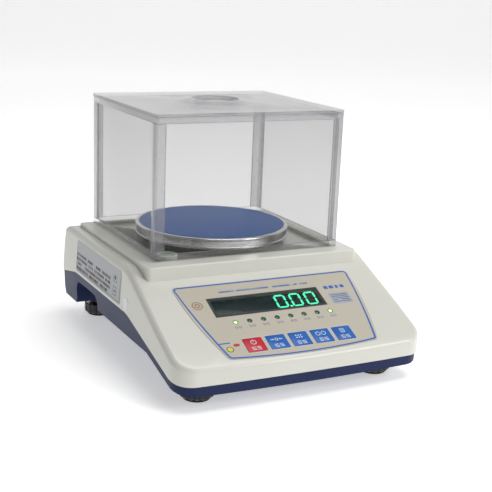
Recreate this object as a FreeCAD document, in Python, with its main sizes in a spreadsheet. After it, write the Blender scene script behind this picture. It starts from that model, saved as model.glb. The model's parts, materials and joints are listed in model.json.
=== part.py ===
import FreeCAD, Part
import math
import os
import Sketcher
from FreeCAD import Placement, Rotation, Vector

# Electronic precision balance under a clear draft shield, in millimetres.
# +Z is up, the operator stands at -Y, and the origin is the middle of the
# footprint on the table that the four levelling feet stand on.

DRIVING_SIZES = {
    # casing
    "body_width": 210.0,
    "body_depth": 261.0,
    "wall": 2.5,
    "front_bow": 2.3,
    "front_corner_radius": 17.0,
    "rear_corner_radius": 5.0,
    "side_draft": 3.2,
    "tray_draft": 2.5,
    "tray_inset": 0.3,
    "top_edge_radius": 5.0,
    "shoulder_height": 80.0,
    "shoulder_rear_inset": 7.0,
    "shoulder_blend_radius": 60.0,
    # seam between the ivory cover and the blue tray
    "seam_height": 45.8,
    "seam_front_height": 20.4,
    "seam_rear_height": 38.0,
    "seam_front_flat": 5.5,
    "seam_front_run": 100.5,
    "seam_rear_run": 38.0,
    "seam_bend_radius": 40.0,
    "seam_gap": 0.4,
    "cover_screw_reach": 2.0,
    # underside of the tray
    "underside_height": 27.6,
    "underside_front_height": 11.5,
    "underside_rear_height": 18.0,
    "underside_front_run": 60.7,
    "underside_rear_run": 40.8,
    "tray_rear_inset": 6.5,
    "hand_hold_length": 54.0,
    "hand_hold_rear_inset": 65.5,
    "hand_hold_top": 39.0,
    "hand_hold_depth": 13.0,
    "hand_hold_radius": 9.0,
    # plateau under the draft shield
    "plateau_side_margin": 11.5,
    "plateau_front_margin": 14.2,
    "plateau_rear_margin": 4.3,
    "plateau_height": 83.1,
    "plateau_corner_radius": 4.0,
    "plateau_edge_radius": 1.2,
    "recess_inset": 2.5,
    "recess_drop": 3.0,
    "recess_corner_radius": 3.0,
    # sloped console
    "console_tilt": 24.23,
    "console_run": 88.8,
    "console_foot_height": 72.5,
    "overlay_top": -9.5,
    "overlay_top_half_width": 77.4,
    "overlay_bottom": -90.0,
    "overlay_bottom_half_width": 62.4,
    "overlay_side_bow": 3.2,
    "overlay_bottom_bow": 3.4,
    "overlay_corner_radius": 4.0,
    "overlay_thickness": 0.8,
    "overlay_proud": 0.2,
    "overlay_clearance": 0.2,
    "window_width": 96.0,
    "window_height": 21.2,
    "window_x": -7.0,
    "window_y": -36.1,
    "window_lap": 2.0,
    "window_clearance": 0.1,
    "led_count": 8.0,
    "led_pitch": 11.68,
    "led_x": -1.3,
    "led_y": -53.8,
    "led_radius": 1.5,
    "led_clearance": 0.15,
    "key_width": 15.6,
    "key_height": 14.0,
    "key_pitch": 18.9,
    "key_x": 0.2,
    "key_y": -79.0,
    "key_clearance": 0.25,
    "key_proud": 0.15,
    "key_travel": 0.4,
    "key_corner_radius": 0.8,
    "key_stem_radius": 2.5,
    "key_stem_clearance": 0.35,
    "tag_width": 17.6,
    "tag_height": 12.0,
    "tag_x": 56.3,
    "tag_y": -40.8,
    "badge_radius": 4.6,
    "badge_x": -64.4,
    "badge_y": -32.0,
    "sticker_thickness": 0.15,
    "sticker_gap": 0.02,
    "console_board_depth": 10.0,
    "console_board_width": 130.0,
    "console_board_height": 64.0,
    "console_board_y": -56.0,
    "board_thickness": 1.6,
    "post_radius": 3.0,
    "board_screw_radius": 1.3,
    # weighing cell and pan
    "beam_length": 130.0,
    "beam_width": 30.0,
    "beam_height": 22.0,
    "beam_bottom": 42.0,
    "beam_hole_radius": 8.0,
    "beam_bolt_inset": 10.0,
    "beam_bolt_pitch": 15.0,
    "cell_bolt_radius": 3.0,
    "base_plate_width": 60.0,
    "base_plate_front_reach": 82.5,
    "base_plate_rear_inset": 21.5,
    "base_plate_thickness": 4.0,
    "stop_gap": 0.6,
    "bracket_length": 84.0,
    "bracket_width": 44.0,
    "bracket_thickness": 3.0,
    "bracket_pad_height": 3.0,
    "hub_radius": 12.0,
    "hub_height": 3.0,
    "spindle_radius": 6.0,
    "spindle_shoulder": 2.0,
    "boss_hole_clearance": 2.0,
    "collar_width": 4.0,
    "collar_height": 1.6,
    "support_inset": 5.0,
    "support_ledge": 14.0,
    "support_wall": 2.5,
    "support_gap": 2.2,
    "cushion_radius": 5.0,
    "cushion_height": 1.0,
    "cushion_inset": 10.0,
    "pan_radius": 65.0,
    "pan_thickness": 0.8,
    "pan_top": 94.5,
    "pan_skirt_height": 9.0,
    "pan_bead_radius": 1.1,
    "film_margin": 3.2,
    "film_thickness": 0.15,
    "switch_width": 6.0,
    "switch_height": 3.6,
    "key_gap": 0.5,
    "module_width": 90.0,
    "module_height": 16.4,
    "module_gap": 0.3,
    "beam_hole_pitch": 26.0,
    "base_foot_inset": 7.0,
    "base_foot_length": 10.0,
    "stop_x": 9.0,
    "stop_inset": 11.5,
    "stop_radius": 2.5,
    # spirit level
    "level_side_inset": 14.0,
    "level_front_inset": 11.5,
    "level_radius": 8.0,
    "level_height": 5.0,
    "level_wall": 1.4,
    "level_glass": 1.0,
    "bubble_radius": 2.0,
    # draft shield
    "shield_width": 163.0,
    "shield_depth": 142.0,
    "shield_top": 194.2,
    "post_width": 8.0,
    "post_depth": 8.5,
    "post_wall": 2.2,
    "panel_thickness": 2.0,
    "panel_inset": 0.6,
    "rail_height": 5.0,
    "rail_width": 3.2,
    "lip_drop": 2.0,
    "lip_thickness": 1.0,
    "lip_clearance": 0.4,
    "lid_thickness": 2.6,
    "lid_overhang": 0.8,
    "lid_corner_radius": 2.5,
    "grip_radius": 36.0,
    "grip_rim_radius": 21.0,
    "grip_rim_width": 0.8,
    "grip_height": 2.6,
    "grip_well_radius": 16.0,
    "grip_well_depth": 6.0,
    # levelling feet
    "foot_side_inset": 28.5,
    "foot_front_inset": 30.5,
    "foot_rear_inset": 18.5,
    "foot_radius": 13.0,
    "foot_height": 12.5,
    "foot_lobes": 16.0,
    "foot_lobe_depth": 1.2,
    "foot_pad_radius": 10.5,
    "foot_pad_height": 2.4,
    "foot_socket_clearance": 0.1,
    "foot_stud_radius": 4.0,
    "foot_stud_top": 33.0,
    "foot_gap": 0.06,
    "foot_boss_wall": 3.5,
    "insert_wall": 1.5,
    "insert_clearance": 0.06,
    "insert_top": 27.0,
    # electronics in the tray
    "main_board_width": 46.0,
    "main_board_length": 84.0,
    "main_board_x": -58.0,
    "main_board_forward": 23.5,
    "standoff_height": 4.0,
    "socket_board_width": 86.0,
    "socket_board_length": 11.0,
    "socket_board_x": -1.0,
    "socket_board_gap": 1.2,
    "socket_board_pad": 1.0,
    # rear sockets
    "port_width": 31.0,
    "port_well_margin": 6.0,
    "port_well_depth": 6.0,
    "port_well_rim": 2.3,
    "socket_clearance": 0.2,
    "port_height": 12.6,
    "port_x": -26.0,
    "port_length": 12.0,
    "jack_width": 12.0,
    "jack_height": 12.6,
    "jack_x": 32.0,
    "jack_length": 13.0,
    "jack_bore_radius": 3.2,
    "jack_pin_radius": 1.0,
    # screws that hold the two casing halves
    "case_screw_side_inset": 17.0,
    "case_screw_front_inset": 68.5,
    "case_screw_rear_x": 52.0,
    "case_screw_rear_inset": 18.5,
    "case_screw_radius": 1.5,
    "case_screw_clearance": 0.3,
    "case_head_radius": 3.0,
    "case_head_height": 2.2,
    "case_boss_radius": 4.5,
    # labels on the left side
    "label_length": 107.0,
    "label_height": 27.0,
    "label_forward": 6.0,
    "label_z": 61.5,
    "label_corner_radius": 3.0,
    "seal_radius": 5.0,
    "seal_from_console": 13.7,
    "seal_z": 52.5,
}

document = FreeCAD.newDocument("balance")
sheet = document.addObject("Spreadsheet::Sheet", "Sizes")


class Size:
    """A number that remembers the spreadsheet expression it comes from."""

    def __init__(self, number, text):
        self.number = number
        self.text = text

    def __add__(self, other):
        return Size(self.number + number_of(other), f"({self.text} + {text_of(other)})")

    def __radd__(self, other):
        return Size(number_of(other) + self.number, f"({text_of(other)} + {self.text})")

    def __sub__(self, other):
        return Size(self.number - number_of(other), f"({self.text} - {text_of(other)})")

    def __rsub__(self, other):
        return Size(number_of(other) - self.number, f"({text_of(other)} - {self.text})")

    def __mul__(self, other):
        return Size(self.number * number_of(other), f"({self.text} * {text_of(other)})")

    def __rmul__(self, other):
        return Size(number_of(other) * self.number, f"({text_of(other)} * {self.text})")

    def __truediv__(self, other):
        return Size(self.number / number_of(other), f"({self.text} / {text_of(other)})")

    def __neg__(self):
        return Size(-self.number, f"(-1 * {self.text})")


def number_of(value):
    return value.number if isinstance(value, Size) else value


def text_of(value):
    return value.text if isinstance(value, Size) else f"({value})"


def tangent(angle):
    return Size(math.tan(math.radians(angle.number)), f"tan({angle.text} * 1 deg)")


def cosine(angle):
    return Size(math.cos(math.radians(angle.number)), f"cos({angle.text} * 1 deg)")


def sine(angle):
    return Size(math.sin(math.radians(angle.number)), f"sin({angle.text} * 1 deg)")


class DrivingSizes:
    """Writes the driving sizes into the spreadsheet and hands them out by name."""

    def __init__(self, values):
        for row, (name, value) in enumerate(values.items(), start=1):
            sheet.set(f"A{row}", name)
            sheet.set(f"B{row}", str(value))
            sheet.setAlias(f"B{row}", name)
            setattr(self, name, Size(value, f"Sizes.{name}"))


s = DrivingSizes(DRIVING_SIZES)
document.recompute()


# ---------------------------------------------------------------- helpers

def bind(thing, path, value):
    """Tie one property, or one constraint, to the spreadsheet."""
    if isinstance(value, Size):
        thing.setExpression(path, value.text)


def place(thing, x=0, y=0, z=0, tilt=None):
    rotation = Rotation(Vector(1, 0, 0), number_of(tilt)) if tilt is not None else Rotation()
    thing.Placement = Placement(Vector(number_of(x), number_of(y), number_of(z)), rotation)
    for axis, value in (("x", x), ("y", y), ("z", z)):
        bind(thing, f"Placement.Base.{axis}", value)
    if tilt is not None:
        bind(thing, "Placement.Rotation.Angle", tilt)
    return thing


def new_body(name, x=0, y=0, z=0, tilt=None):
    body = document.addObject("PartDesign::Body", name)
    body.Label = name
    return place(body, x, y, z, tilt)


def new_sketch(body, role, z=0, at=None, tilt=None):
    """A sketch on one of the body's origin planes, lifted by z or set on a tilted plane."""
    sketch = body.newObject("Sketcher::SketchObject", f"{body.Name}_sketch")
    plane = [feature for feature in body.Origin.OriginFeatures if feature.Role == role][0]
    sketch.AttachmentSupport = (plane, [""])
    sketch.MapMode = "FlatFace"
    if at is not None:
        rotation = Rotation(Vector(1, 0, 0), number_of(tilt))
        sketch.AttachmentOffset = Placement(Vector(0, number_of(at[0]), number_of(at[1])), rotation)
        bind(sketch, "AttachmentOffset.Base.y", at[0])
        bind(sketch, "AttachmentOffset.Base.z", at[1])
        bind(sketch, "AttachmentOffset.Rotation.Angle", tilt)
    elif number_of(z) != 0:
        sketch.AttachmentOffset = Placement(Vector(0, 0, number_of(z)), Rotation())
        bind(sketch, "AttachmentOffset.Base.z", z)
    return sketch


def pin_point(sketch, geometry, position, u, v):
    """Fix a sketch point at (u, v) from the sketch origin."""
    for kind, value, axis in (("DistanceX", u, -2), ("DistanceY", v, -1)):
        if number_of(value) == 0:
            sketch.addConstraint(Sketcher.Constraint("PointOnObject", geometry, position, axis))
            continue
        constraint = Sketcher.Constraint(kind, -1, 1, geometry, position, number_of(value))
        index = sketch.addConstraint(constraint)
        bind(sketch, f"Constraints[{index}]", value)


def fix_radius(sketch, geometry, radius):
    index = sketch.addConstraint(Sketcher.Constraint("Radius", geometry, number_of(radius)))
    bind(sketch, f"Constraints[{index}]", radius)


def add_circle(sketch, u, v, radius):
    centre = Vector(number_of(u), number_of(v), 0)
    circle = sketch.addGeometry(Part.Circle(centre, Vector(0, 0, 1), number_of(radius)), False)
    pin_point(sketch, circle, 3, u, v)
    fix_radius(sketch, circle, radius)


def add_outline(sketch, corners):
    """A closed counter-clockwise outline.

    Each corner is (u, v), (u, v, radius) for a rounded corner, or
    (u, v, 0, bow) where the side to the next corner bulges outwards by bow.
    """
    corners = [tuple(corner) + (0,) * (4 - len(corner)) for corner in corners]
    count = len(corners)
    points = [Vector(number_of(corner[0]), number_of(corner[1]), 0) for corner in corners]
    directions = [(points[(i + 1) % count] - points[i]).normalize() for i in range(count)]
    turns = [directions[i - 1].cross(directions[i]).z for i in range(count)]
    trims = []
    for i, corner in enumerate(corners):
        half_turn_tangent = abs(turns[i]) / (1 + directions[i - 1].dot(directions[i]))
        trims.append(number_of(corner[2]) * half_turn_tangent)
    sides = []
    for i, corner in enumerate(corners):
        start = points[i] + directions[i] * trims[i]
        end = points[(i + 1) % count] - directions[i] * trims[(i + 1) % count]
        bow = corner[3]
        if number_of(bow) == 0:
            sides.append((sketch.addGeometry(Part.LineSegment(start, end), False), 1, 2))
            continue
        outward = Vector(directions[i].y, -directions[i].x, 0)
        middle = (start + end) * 0.5 + outward * number_of(bow)
        arc = sketch.addGeometry(Part.Arc(start, middle, end), False)
        sides.append((arc, 1, 2) if number_of(bow) > 0 else (arc, 2, 1))
    for i, corner in enumerate(corners):
        before, before_end = sides[i - 1][0], sides[i - 1][2]
        after, after_start = sides[i][0], sides[i][1]
        if number_of(corner[2]) == 0:
            joint = Sketcher.Constraint("Coincident", before, before_end, after, after_start)
            sketch.addConstraint(joint)
            pin_point(sketch, after, after_start, corner[0], corner[1])
            continue
        start = points[i] - directions[i - 1] * trims[i]
        end = points[i] + directions[i] * trims[i]
        normal = Vector(-directions[i - 1].y, directions[i - 1].x, 0) * math.copysign(1, turns[i])
        centre = start + normal * number_of(corner[2])
        middle = centre + (points[i] - centre).normalize() * number_of(corner[2])
        arc = sketch.addGeometry(Part.Arc(start, middle, end), False)
        arc_start, arc_end = (1, 2) if turns[i] > 0 else (2, 1)
        vertex = sketch.addGeometry(Part.Point(points[i]), True)
        pin_point(sketch, vertex, 1, corner[0], corner[1])
        sketch.addConstraint([
            Sketcher.Constraint("PointOnObject", vertex, 1, before),
            Sketcher.Constraint("PointOnObject", vertex, 1, after),
            Sketcher.Constraint("Tangent", before, before_end, arc, arc_start),
            Sketcher.Constraint("Tangent", arc, arc_end, after, after_start),
        ])
        fix_radius(sketch, arc, corner[2])
    for i, corner in enumerate(corners):
        if number_of(corner[3]) != 0:
            following = corners[(i + 1) % count]
            across = following[0] - corner[0]
            along = following[1] - corner[1]
            bow = corner[3]
            radius = ((across * across + along * along) / 4 + bow * bow) / (2 * bow)
            if number_of(bow) < 0:
                radius = -radius
            fix_radius(sketch, sides[i][0], radius)


def rectangle(width, height, radius=0, x=0, y=0):
    """The four corners of a rectangle centred on (x, y)."""
    return [(x - width / 2, y - height / 2, radius), (x + width / 2, y - height / 2, radius),
            (x + width / 2, y + height / 2, radius), (x - width / 2, y + height / 2, radius)]


def pad(body, sketch, length, both_ways=False, down=False, taper=None):
    feature = body.newObject("PartDesign::Pad", f"{body.Name}_pad")
    feature.Profile = sketch
    feature.Length = number_of(length)
    bind(feature, "Length", length)
    if both_ways:
        feature.SideType = "Symmetric"
    feature.Reversed = down
    if taper is not None:
        feature.TaperAngle = number_of(taper)
        bind(feature, "TaperAngle", taper)
    document.recompute()
    return feature


def pocket(body, sketch, length=None, both_ways=False, up=False):
    """Cut along the sketch normal reversed, or along it with up=True."""
    feature = body.newObject("PartDesign::Pocket", f"{body.Name}_pocket")
    feature.Profile = sketch
    if both_ways:
        feature.SideType = "Symmetric"
    if length is None:
        feature.Type = "ThroughAll"
    else:
        feature.Length = number_of(length)
        bind(feature, "Length", length)
    feature.Reversed = up
    volume = body.Shape.Volume
    document.recompute()
    if feature.Shape.Volume > volume - 1e-6:
        raise RuntimeError(f"{feature.Label} cuts nothing")
    return feature


def spin(body, sketch, kind="PartDesign::Revolution"):
    """Turn a sketch on the XZ plane once around the body's Z axis."""
    feature = body.newObject(kind, f"{body.Name}_turned")
    feature.Profile = sketch
    feature.ReferenceAxis = (sketch, ["V_Axis"])
    feature.Angle = 360
    document.recompute()
    return feature


def turned_body(name, corners, x=0, y=0, z=0):
    body = new_body(name, x, y, z)
    sketch = new_sketch(body, "XZ_Plane")
    add_outline(sketch, corners)
    spin(body, sketch)
    return body


def round_edges(body, radius, chosen, kind="PartDesign::Fillet"):
    """Fillet the edges of the body's tip for which chosen(edge) is true."""
    base = body.Tip
    names = [f"Edge{i}" for i, edge in enumerate(base.Shape.Edges, start=1) if chosen(edge)]
    if not names:
        raise RuntimeError(f"{body.Label} has no edge to round")
    feature = body.newObject(kind, f"{body.Name}_rounded")
    feature.Base = (base, names)
    if kind == "PartDesign::Fillet":
        feature.Radius = number_of(radius)
        bind(feature, "Radius", radius)
    else:
        feature.Size = number_of(radius)
        bind(feature, "Size", radius)
    document.recompute()
    return feature


def is_line(edge):
    return edge.Curve.TypeId == "Part::GeomLine"


def runs_along(edge, axis, tolerance=0.2):
    """True where a straight edge runs along the axis, within a draft angle."""
    if not is_line(edge):
        return False
    direction = edge.tangentAt(edge.FirstParameter)
    return direction.cross(axis).Length < tolerance


def middle_of(edge):
    return edge.CenterOfMass


def block(name, length, width, height, x, y, z):
    """A box from its lowest corner."""
    thing = document.addObject("Part::Box", name)
    thing.Label = name
    for prop, value in (("Length", length), ("Width", width), ("Height", height)):
        setattr(thing, prop, number_of(value))
        bind(thing, prop, value)
    return place(thing, x, y, z)


def rod(name, radius, height, x, y, z):
    """An upright cylinder from its lowest point."""
    thing = document.addObject("Part::Cylinder", name)
    thing.Label = name
    for prop, value in (("Radius", radius), ("Height", height)):
        setattr(thing, prop, number_of(value))
        bind(thing, prop, value)
    return place(thing, x, y, z)


def fuse(name, things):
    thing = document.addObject("Part::MultiFuse", name)
    thing.Label = name
    thing.Shapes = things
    return thing


def cut(name, base, tool):
    thing = document.addObject("Part::Cut", name)
    thing.Label = name
    thing.Base = base
    thing.Tool = tool
    return thing


def group(name, things):
    """Identical pieces kept as separate solids of one node."""
    thing = document.addObject("Part::Compound", name)
    thing.Label = name
    thing.Links = things
    return thing


nodes = {}


def keep(thing):
    nodes[thing.Label] = thing
    return thing


# ------------------------------------------------------- shared geometry

front_y = -s.body_depth / 2
rear_y = s.body_depth / 2
slope = tangent(s.console_tilt)
outside = 15.0
left_and_right = (-1, 1)

# The console hangs from the front, the shield and pan stand behind it, and
# the plateau and its recess are as large as the shield needs.
console_foot_y = front_y + s.console_run
pan_y = console_foot_y + s.plateau_front_margin + s.shield_depth / 2
plateau_width = s.shield_width + 2 * s.plateau_side_margin
plateau_depth = s.plateau_front_margin + s.shield_depth + s.plateau_rear_margin
recess_width = s.shield_width - 2 * s.recess_inset
recess_depth = s.shield_depth - 2 * s.recess_inset
level_x = s.level_side_inset - recess_width / 2
level_y = pan_y - recess_depth / 2 + s.level_front_inset

# What carries the pan follows the pan.
boss_hole_radius = s.spindle_radius + s.spindle_shoulder + s.boss_hole_clearance
collar_radius = boss_hole_radius + s.collar_width
film_radius = s.pan_radius - s.film_margin
support_radius = s.pan_radius - s.support_inset
support_top_radius = support_radius - s.support_ledge
cushion_circle_radius = support_top_radius - s.cushion_inset
stop_y = pan_y - s.beam_length / 2 + s.stop_inset
base_plate_front = pan_y - s.base_plate_front_reach
base_plate_rear = rear_y - s.base_plate_rear_inset
base_foot_y = base_plate_rear - s.base_foot_inset
main_board_y = pan_y - s.main_board_forward
label_y = pan_y - s.label_forward
seal_y = console_foot_y + s.seal_from_console

# Feet, screws and sockets keep their distance from the casing's edges.
foot_x = s.body_width / 2 - s.foot_side_inset
foot_front_y = front_y + s.foot_front_inset
foot_rear_y = rear_y - s.foot_rear_inset
foot_socket_radius = s.foot_stud_radius + s.foot_socket_clearance
insert_radius = s.foot_stud_radius + s.insert_wall
foot_boss_radius = insert_radius + s.foot_boss_wall
case_screw_x = s.body_width / 2 - s.case_screw_side_inset
case_screw_front_y = front_y + s.case_screw_front_inset
case_screw_rear_y = rear_y - s.case_screw_rear_inset
hand_hold_y = rear_y - s.hand_hold_rear_inset
inner_rear_y = rear_y - s.tray_rear_inset - s.wall
socket_board_y = inner_rear_y - s.socket_board_gap - s.socket_board_length / 2
socket_board_bottom = s.underside_rear_height + s.wall + s.socket_board_pad
port_z = socket_board_bottom + s.board_thickness + s.port_height / 2


def console_height(y):
    """Height of the sloped console face at a distance y."""
    return s.console_foot_height + (y - console_foot_y) * slope


def plan(inset):
    """The casing seen from above: a bowed front, rounded corners, a straight back."""
    half_width = s.body_width / 2 - inset
    front = front_y + s.front_bow + inset
    front_radius = s.front_corner_radius - inset
    rear_radius = s.rear_corner_radius - inset
    return [(-half_width, front, front_radius, s.front_bow), (half_width, front, front_radius),
            (half_width, rear_y - inset, rear_radius), (-half_width, rear_y - inset, rear_radius)]


def seam_line(lift):
    """The line where cover and tray meet, seen from the side, front to back."""
    rear_drop = (s.seam_height - s.seam_rear_height) / s.seam_rear_run
    bend = s.seam_bend_radius
    return [(front_y - outside, s.seam_front_height + lift),
            (front_y + s.seam_front_flat, s.seam_front_height + lift, bend),
            (front_y + s.seam_front_run, s.seam_height + lift, bend),
            (rear_y - s.seam_rear_run, s.seam_height + lift, bend),
            (rear_y + outside, s.seam_rear_height - rear_drop * outside + lift)]


def above_seam(lift):
    return seam_line(lift) + [(rear_y + outside, 120.0), (front_y - outside, 120.0)]


def below_seam(lift):
    return [(front_y - outside, -outside), (rear_y + outside, -outside)] + seam_line(lift)[::-1]


def cut_side_profile(body, corners):
    """Cut away a shape seen from the side, right across the casing."""
    sketch = new_sketch(body, "YZ_Plane")
    add_outline(sketch, corners)
    pocket(body, sketch, both_ways=True)


def add_circles(body, z, centres, radius, tilted=False):
    if tilted:
        sketch = new_sketch(body, "XY_Plane", at=(console_foot_y, s.console_foot_height),
                            tilt=s.console_tilt)
    else:
        sketch = new_sketch(body, "XY_Plane", z=z)
    for u, v in centres:
        add_circle(sketch, u, v, radius)
    return sketch


case_screw_places = [(side * case_screw_x, case_screw_front_y) for side in left_and_right]
case_screw_places += [(side * s.case_screw_rear_x, case_screw_rear_y) for side in left_and_right]
foot_places = {
    "front_left": (-foot_x, foot_front_y),
    "front_right": (foot_x, foot_front_y),
    "rear_left": (-foot_x, foot_rear_y),
    "rear_right": (foot_x, foot_rear_y),
}
post_inset = 5.0
board_post_places = [(side * (s.console_board_width / 2 - post_inset),
                      s.console_board_y + end * (s.console_board_height / 2 - post_inset))
                     for side in left_and_right for end in left_and_right]
key_places = [(s.key_x + (index - 2) * s.key_pitch, s.key_y) for index in range(5)]
led_count = int(s.led_count.number)
led_places = [(s.led_x + (index - (led_count - 1) / 2) * s.led_pitch, s.led_y)
              for index in range(led_count)]


# ------------------------------------------------------------ top housing

def cover_form(name, inset, lower_reach):
    """The ivory cover without its plateau, as a filled form."""
    body = new_body(name)
    upper = new_sketch(body, "XY_Plane", z=s.seam_height)
    add_outline(upper, plan(inset))
    pad(body, upper, s.plateau_height - s.seam_height, taper=-s.side_draft)
    lower = new_sketch(body, "XY_Plane", z=s.seam_height)
    add_outline(lower, plan(inset))
    pad(body, lower, s.seam_height - s.seam_front_height + lower_reach, down=True)
    shoulder = s.shoulder_height - inset
    drop = inset / cosine(s.console_tilt)
    front = front_y - outside
    bend_y = console_foot_y + (shoulder + drop - s.console_foot_height) / slope
    cut_side_profile(body, [
        (front, console_height(front) - drop),
        (bend_y, shoulder, s.shoulder_blend_radius),
        (rear_y - s.shoulder_rear_inset - inset, shoulder),
        (rear_y - inset, s.seam_rear_height),
        (rear_y + outside, s.seam_rear_height),
        (rear_y + outside, 120.0),
        (front, 120.0)])
    return body


def is_top_edge(edge):
    """An edge where the top faces of the cover meet its walls."""
    middle = middle_of(edge)
    if edge.BoundBox.ZLength > 0.8 * s.plateau_height.number - s.seam_front_height.number:
        return False
    up_the_slope = (middle.y - console_foot_y.number) * slope.number
    near_top = min(s.shoulder_height.number, s.console_foot_height.number + up_the_slope)
    at_wall = (abs(middle.x) > plateau_width.number / 2
               or middle.y < front_y.number + 10
               or middle.y > rear_y.number - 12)
    return at_wall and abs(middle.z - near_top) < 4.0 and not runs_along(edge, Vector(0, 0, 1))


def build_top_housing():
    core = cover_form("cover_core", s.wall, 8.0)
    boss_sketch = add_circles(core, 0, case_screw_places, s.case_boss_radius)
    pocket(core, boss_sketch, up=True)
    post_sketch = add_circles(core, 0, board_post_places, s.post_radius, tilted=True)
    pocket(core, post_sketch, s.console_board_depth)

    body = cover_form("top_housing", Size(0.0, "0"), 0)
    round_edges(body, s.top_edge_radius, is_top_edge)
    cut_side_profile(body, below_seam(0))

    plateau = new_sketch(body, "XY_Plane", z=s.seam_height + s.wall)
    plateau_middle = console_foot_y + plateau_depth / 2
    add_outline(plateau, rectangle(plateau_width, plateau_depth, s.plateau_corner_radius,
                                   y=plateau_middle))
    pad(body, plateau, s.plateau_height - s.seam_height - s.wall)
    top = s.plateau_height.number
    round_edges(body, s.plateau_edge_radius, lambda edge: abs(edge.BoundBox.ZMin - top) < 1e-4)

    hollow = body.newObject("PartDesign::Boolean", "cover_hollow")
    hollow.Type = "Cut"
    hollow.addObjects([core])
    document.recompute()

    recess = new_sketch(body, "XY_Plane", z=s.plateau_height)
    add_outline(recess, rectangle(recess_width, recess_depth, s.recess_corner_radius, y=pan_y))
    pocket(body, recess, s.recess_drop)
    spindle_hole = add_circles(body, s.plateau_height, [(0, pan_y)], boss_hole_radius)
    pocket(body, spindle_hole, s.recess_drop + 2 * s.wall)

    console = (console_foot_y, s.console_foot_height)
    seat = new_sketch(body, "XY_Plane", at=console, tilt=s.console_tilt)
    add_outline(seat, overlay_outline(s.overlay_clearance))
    pocket(body, seat, s.overlay_thickness - s.overlay_proud)
    openings = new_sketch(body, "XY_Plane", at=console, tilt=s.console_tilt)
    add_outline(openings, rectangle(s.window_width - 2 * s.window_lap, s.window_height - 2 * s.window_lap,
                                    x=s.window_x, y=s.window_y))
    for u, v in key_places:
        add_circle(openings, u, v, s.key_stem_radius + s.key_stem_clearance)
    for u, v in led_places:
        add_circle(openings, u, v, s.led_radius + s.led_clearance)
    pocket(body, openings, 2 * s.wall)

    pilots = add_circles(body, s.seam_front_height, case_screw_places, s.case_screw_radius)
    pocket(body, pilots, s.seam_height + s.cover_screw_reach - s.seam_front_height, up=True)
    post_pilots = new_sketch(body, "XY_Plane", at=console, tilt=s.console_tilt)
    for u, v in board_post_places:
        add_circle(post_pilots, u, v, s.board_screw_radius)
    sunk = post_pilots.AttachmentOffset
    depth = s.console_board_depth + 1.0
    base_y = console_foot_y + depth * sine(s.console_tilt)
    base_z = s.console_foot_height - depth * cosine(s.console_tilt)
    sunk.Base = Vector(0, base_y.number, base_z.number)
    post_pilots.AttachmentOffset = sunk
    bind(post_pilots, "AttachmentOffset.Base.y", base_y)
    bind(post_pilots, "AttachmentOffset.Base.z", base_z)
    pocket(body, post_pilots, s.console_board_depth - s.wall - 1.0, up=True)
    return keep(body)


def overlay_outline(spread):
    """The membrane panel: wide at the top, narrow at the front, with bowed sides."""
    top = s.overlay_top_half_width + spread
    bottom = s.overlay_bottom_half_width + spread
    radius = s.overlay_corner_radius
    return [(-bottom, s.overlay_bottom - spread, radius, s.overlay_bottom_bow),
            (bottom, s.overlay_bottom - spread, radius, s.overlay_side_bow),
            (top, s.overlay_top + spread, radius),
            (-top, s.overlay_top + spread, radius, s.overlay_side_bow)]


# --------------------------------------------------------- bottom housing

def tray_form(name, inset, floor_lift, seam_lift, scoop_spread):
    """The blue tray as a filled form: raised middle, deeper back, wedge-shaped front."""
    body = new_body(name)
    sketch = new_sketch(body, "XY_Plane", z=s.seam_height)
    add_outline(sketch, plan(inset))
    pad(body, sketch, s.seam_height - 5.0, down=True, taper=-s.tray_draft)
    cut_side_profile(body, above_seam(seam_lift))
    back = rear_y - inset
    rear_foot = back - s.tray_rear_inset
    step = rear_y - s.underside_rear_run - inset
    front_slope = (s.underside_height - s.underside_front_height) / s.underside_front_run
    cut_side_profile(body, [
        (front_y - outside, -outside),
        (rear_y + outside, -outside),
        (rear_y + outside, s.seam_rear_height + seam_lift - 1.0),
        (back, s.seam_rear_height + seam_lift - 1.0),
        (rear_foot, s.underside_rear_height + floor_lift),
        (step + 4.0 + 2 * inset, s.underside_rear_height + floor_lift),
        (step + inset, s.underside_height + floor_lift),
        (front_y + s.underside_front_run, s.underside_height + floor_lift),
        (front_y - outside, s.underside_front_height - front_slope * outside + floor_lift)])
    depth = s.hand_hold_depth + scoop_spread
    half_length = s.hand_hold_length / 2 + scoop_spread
    top = s.hand_hold_top + scoop_spread
    for side in left_and_right:
        scoop = new_sketch(body, "YZ_Plane", z=side * (s.body_width / 2 - depth))
        add_outline(scoop, [(hand_hold_y - half_length, -outside),
                            (hand_hold_y + half_length, -outside),
                            (hand_hold_y + half_length, top, s.hand_hold_radius),
                            (hand_hold_y - half_length, top, s.hand_hold_radius)])
        pocket(body, scoop, up=(side > 0))
    return body


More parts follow.
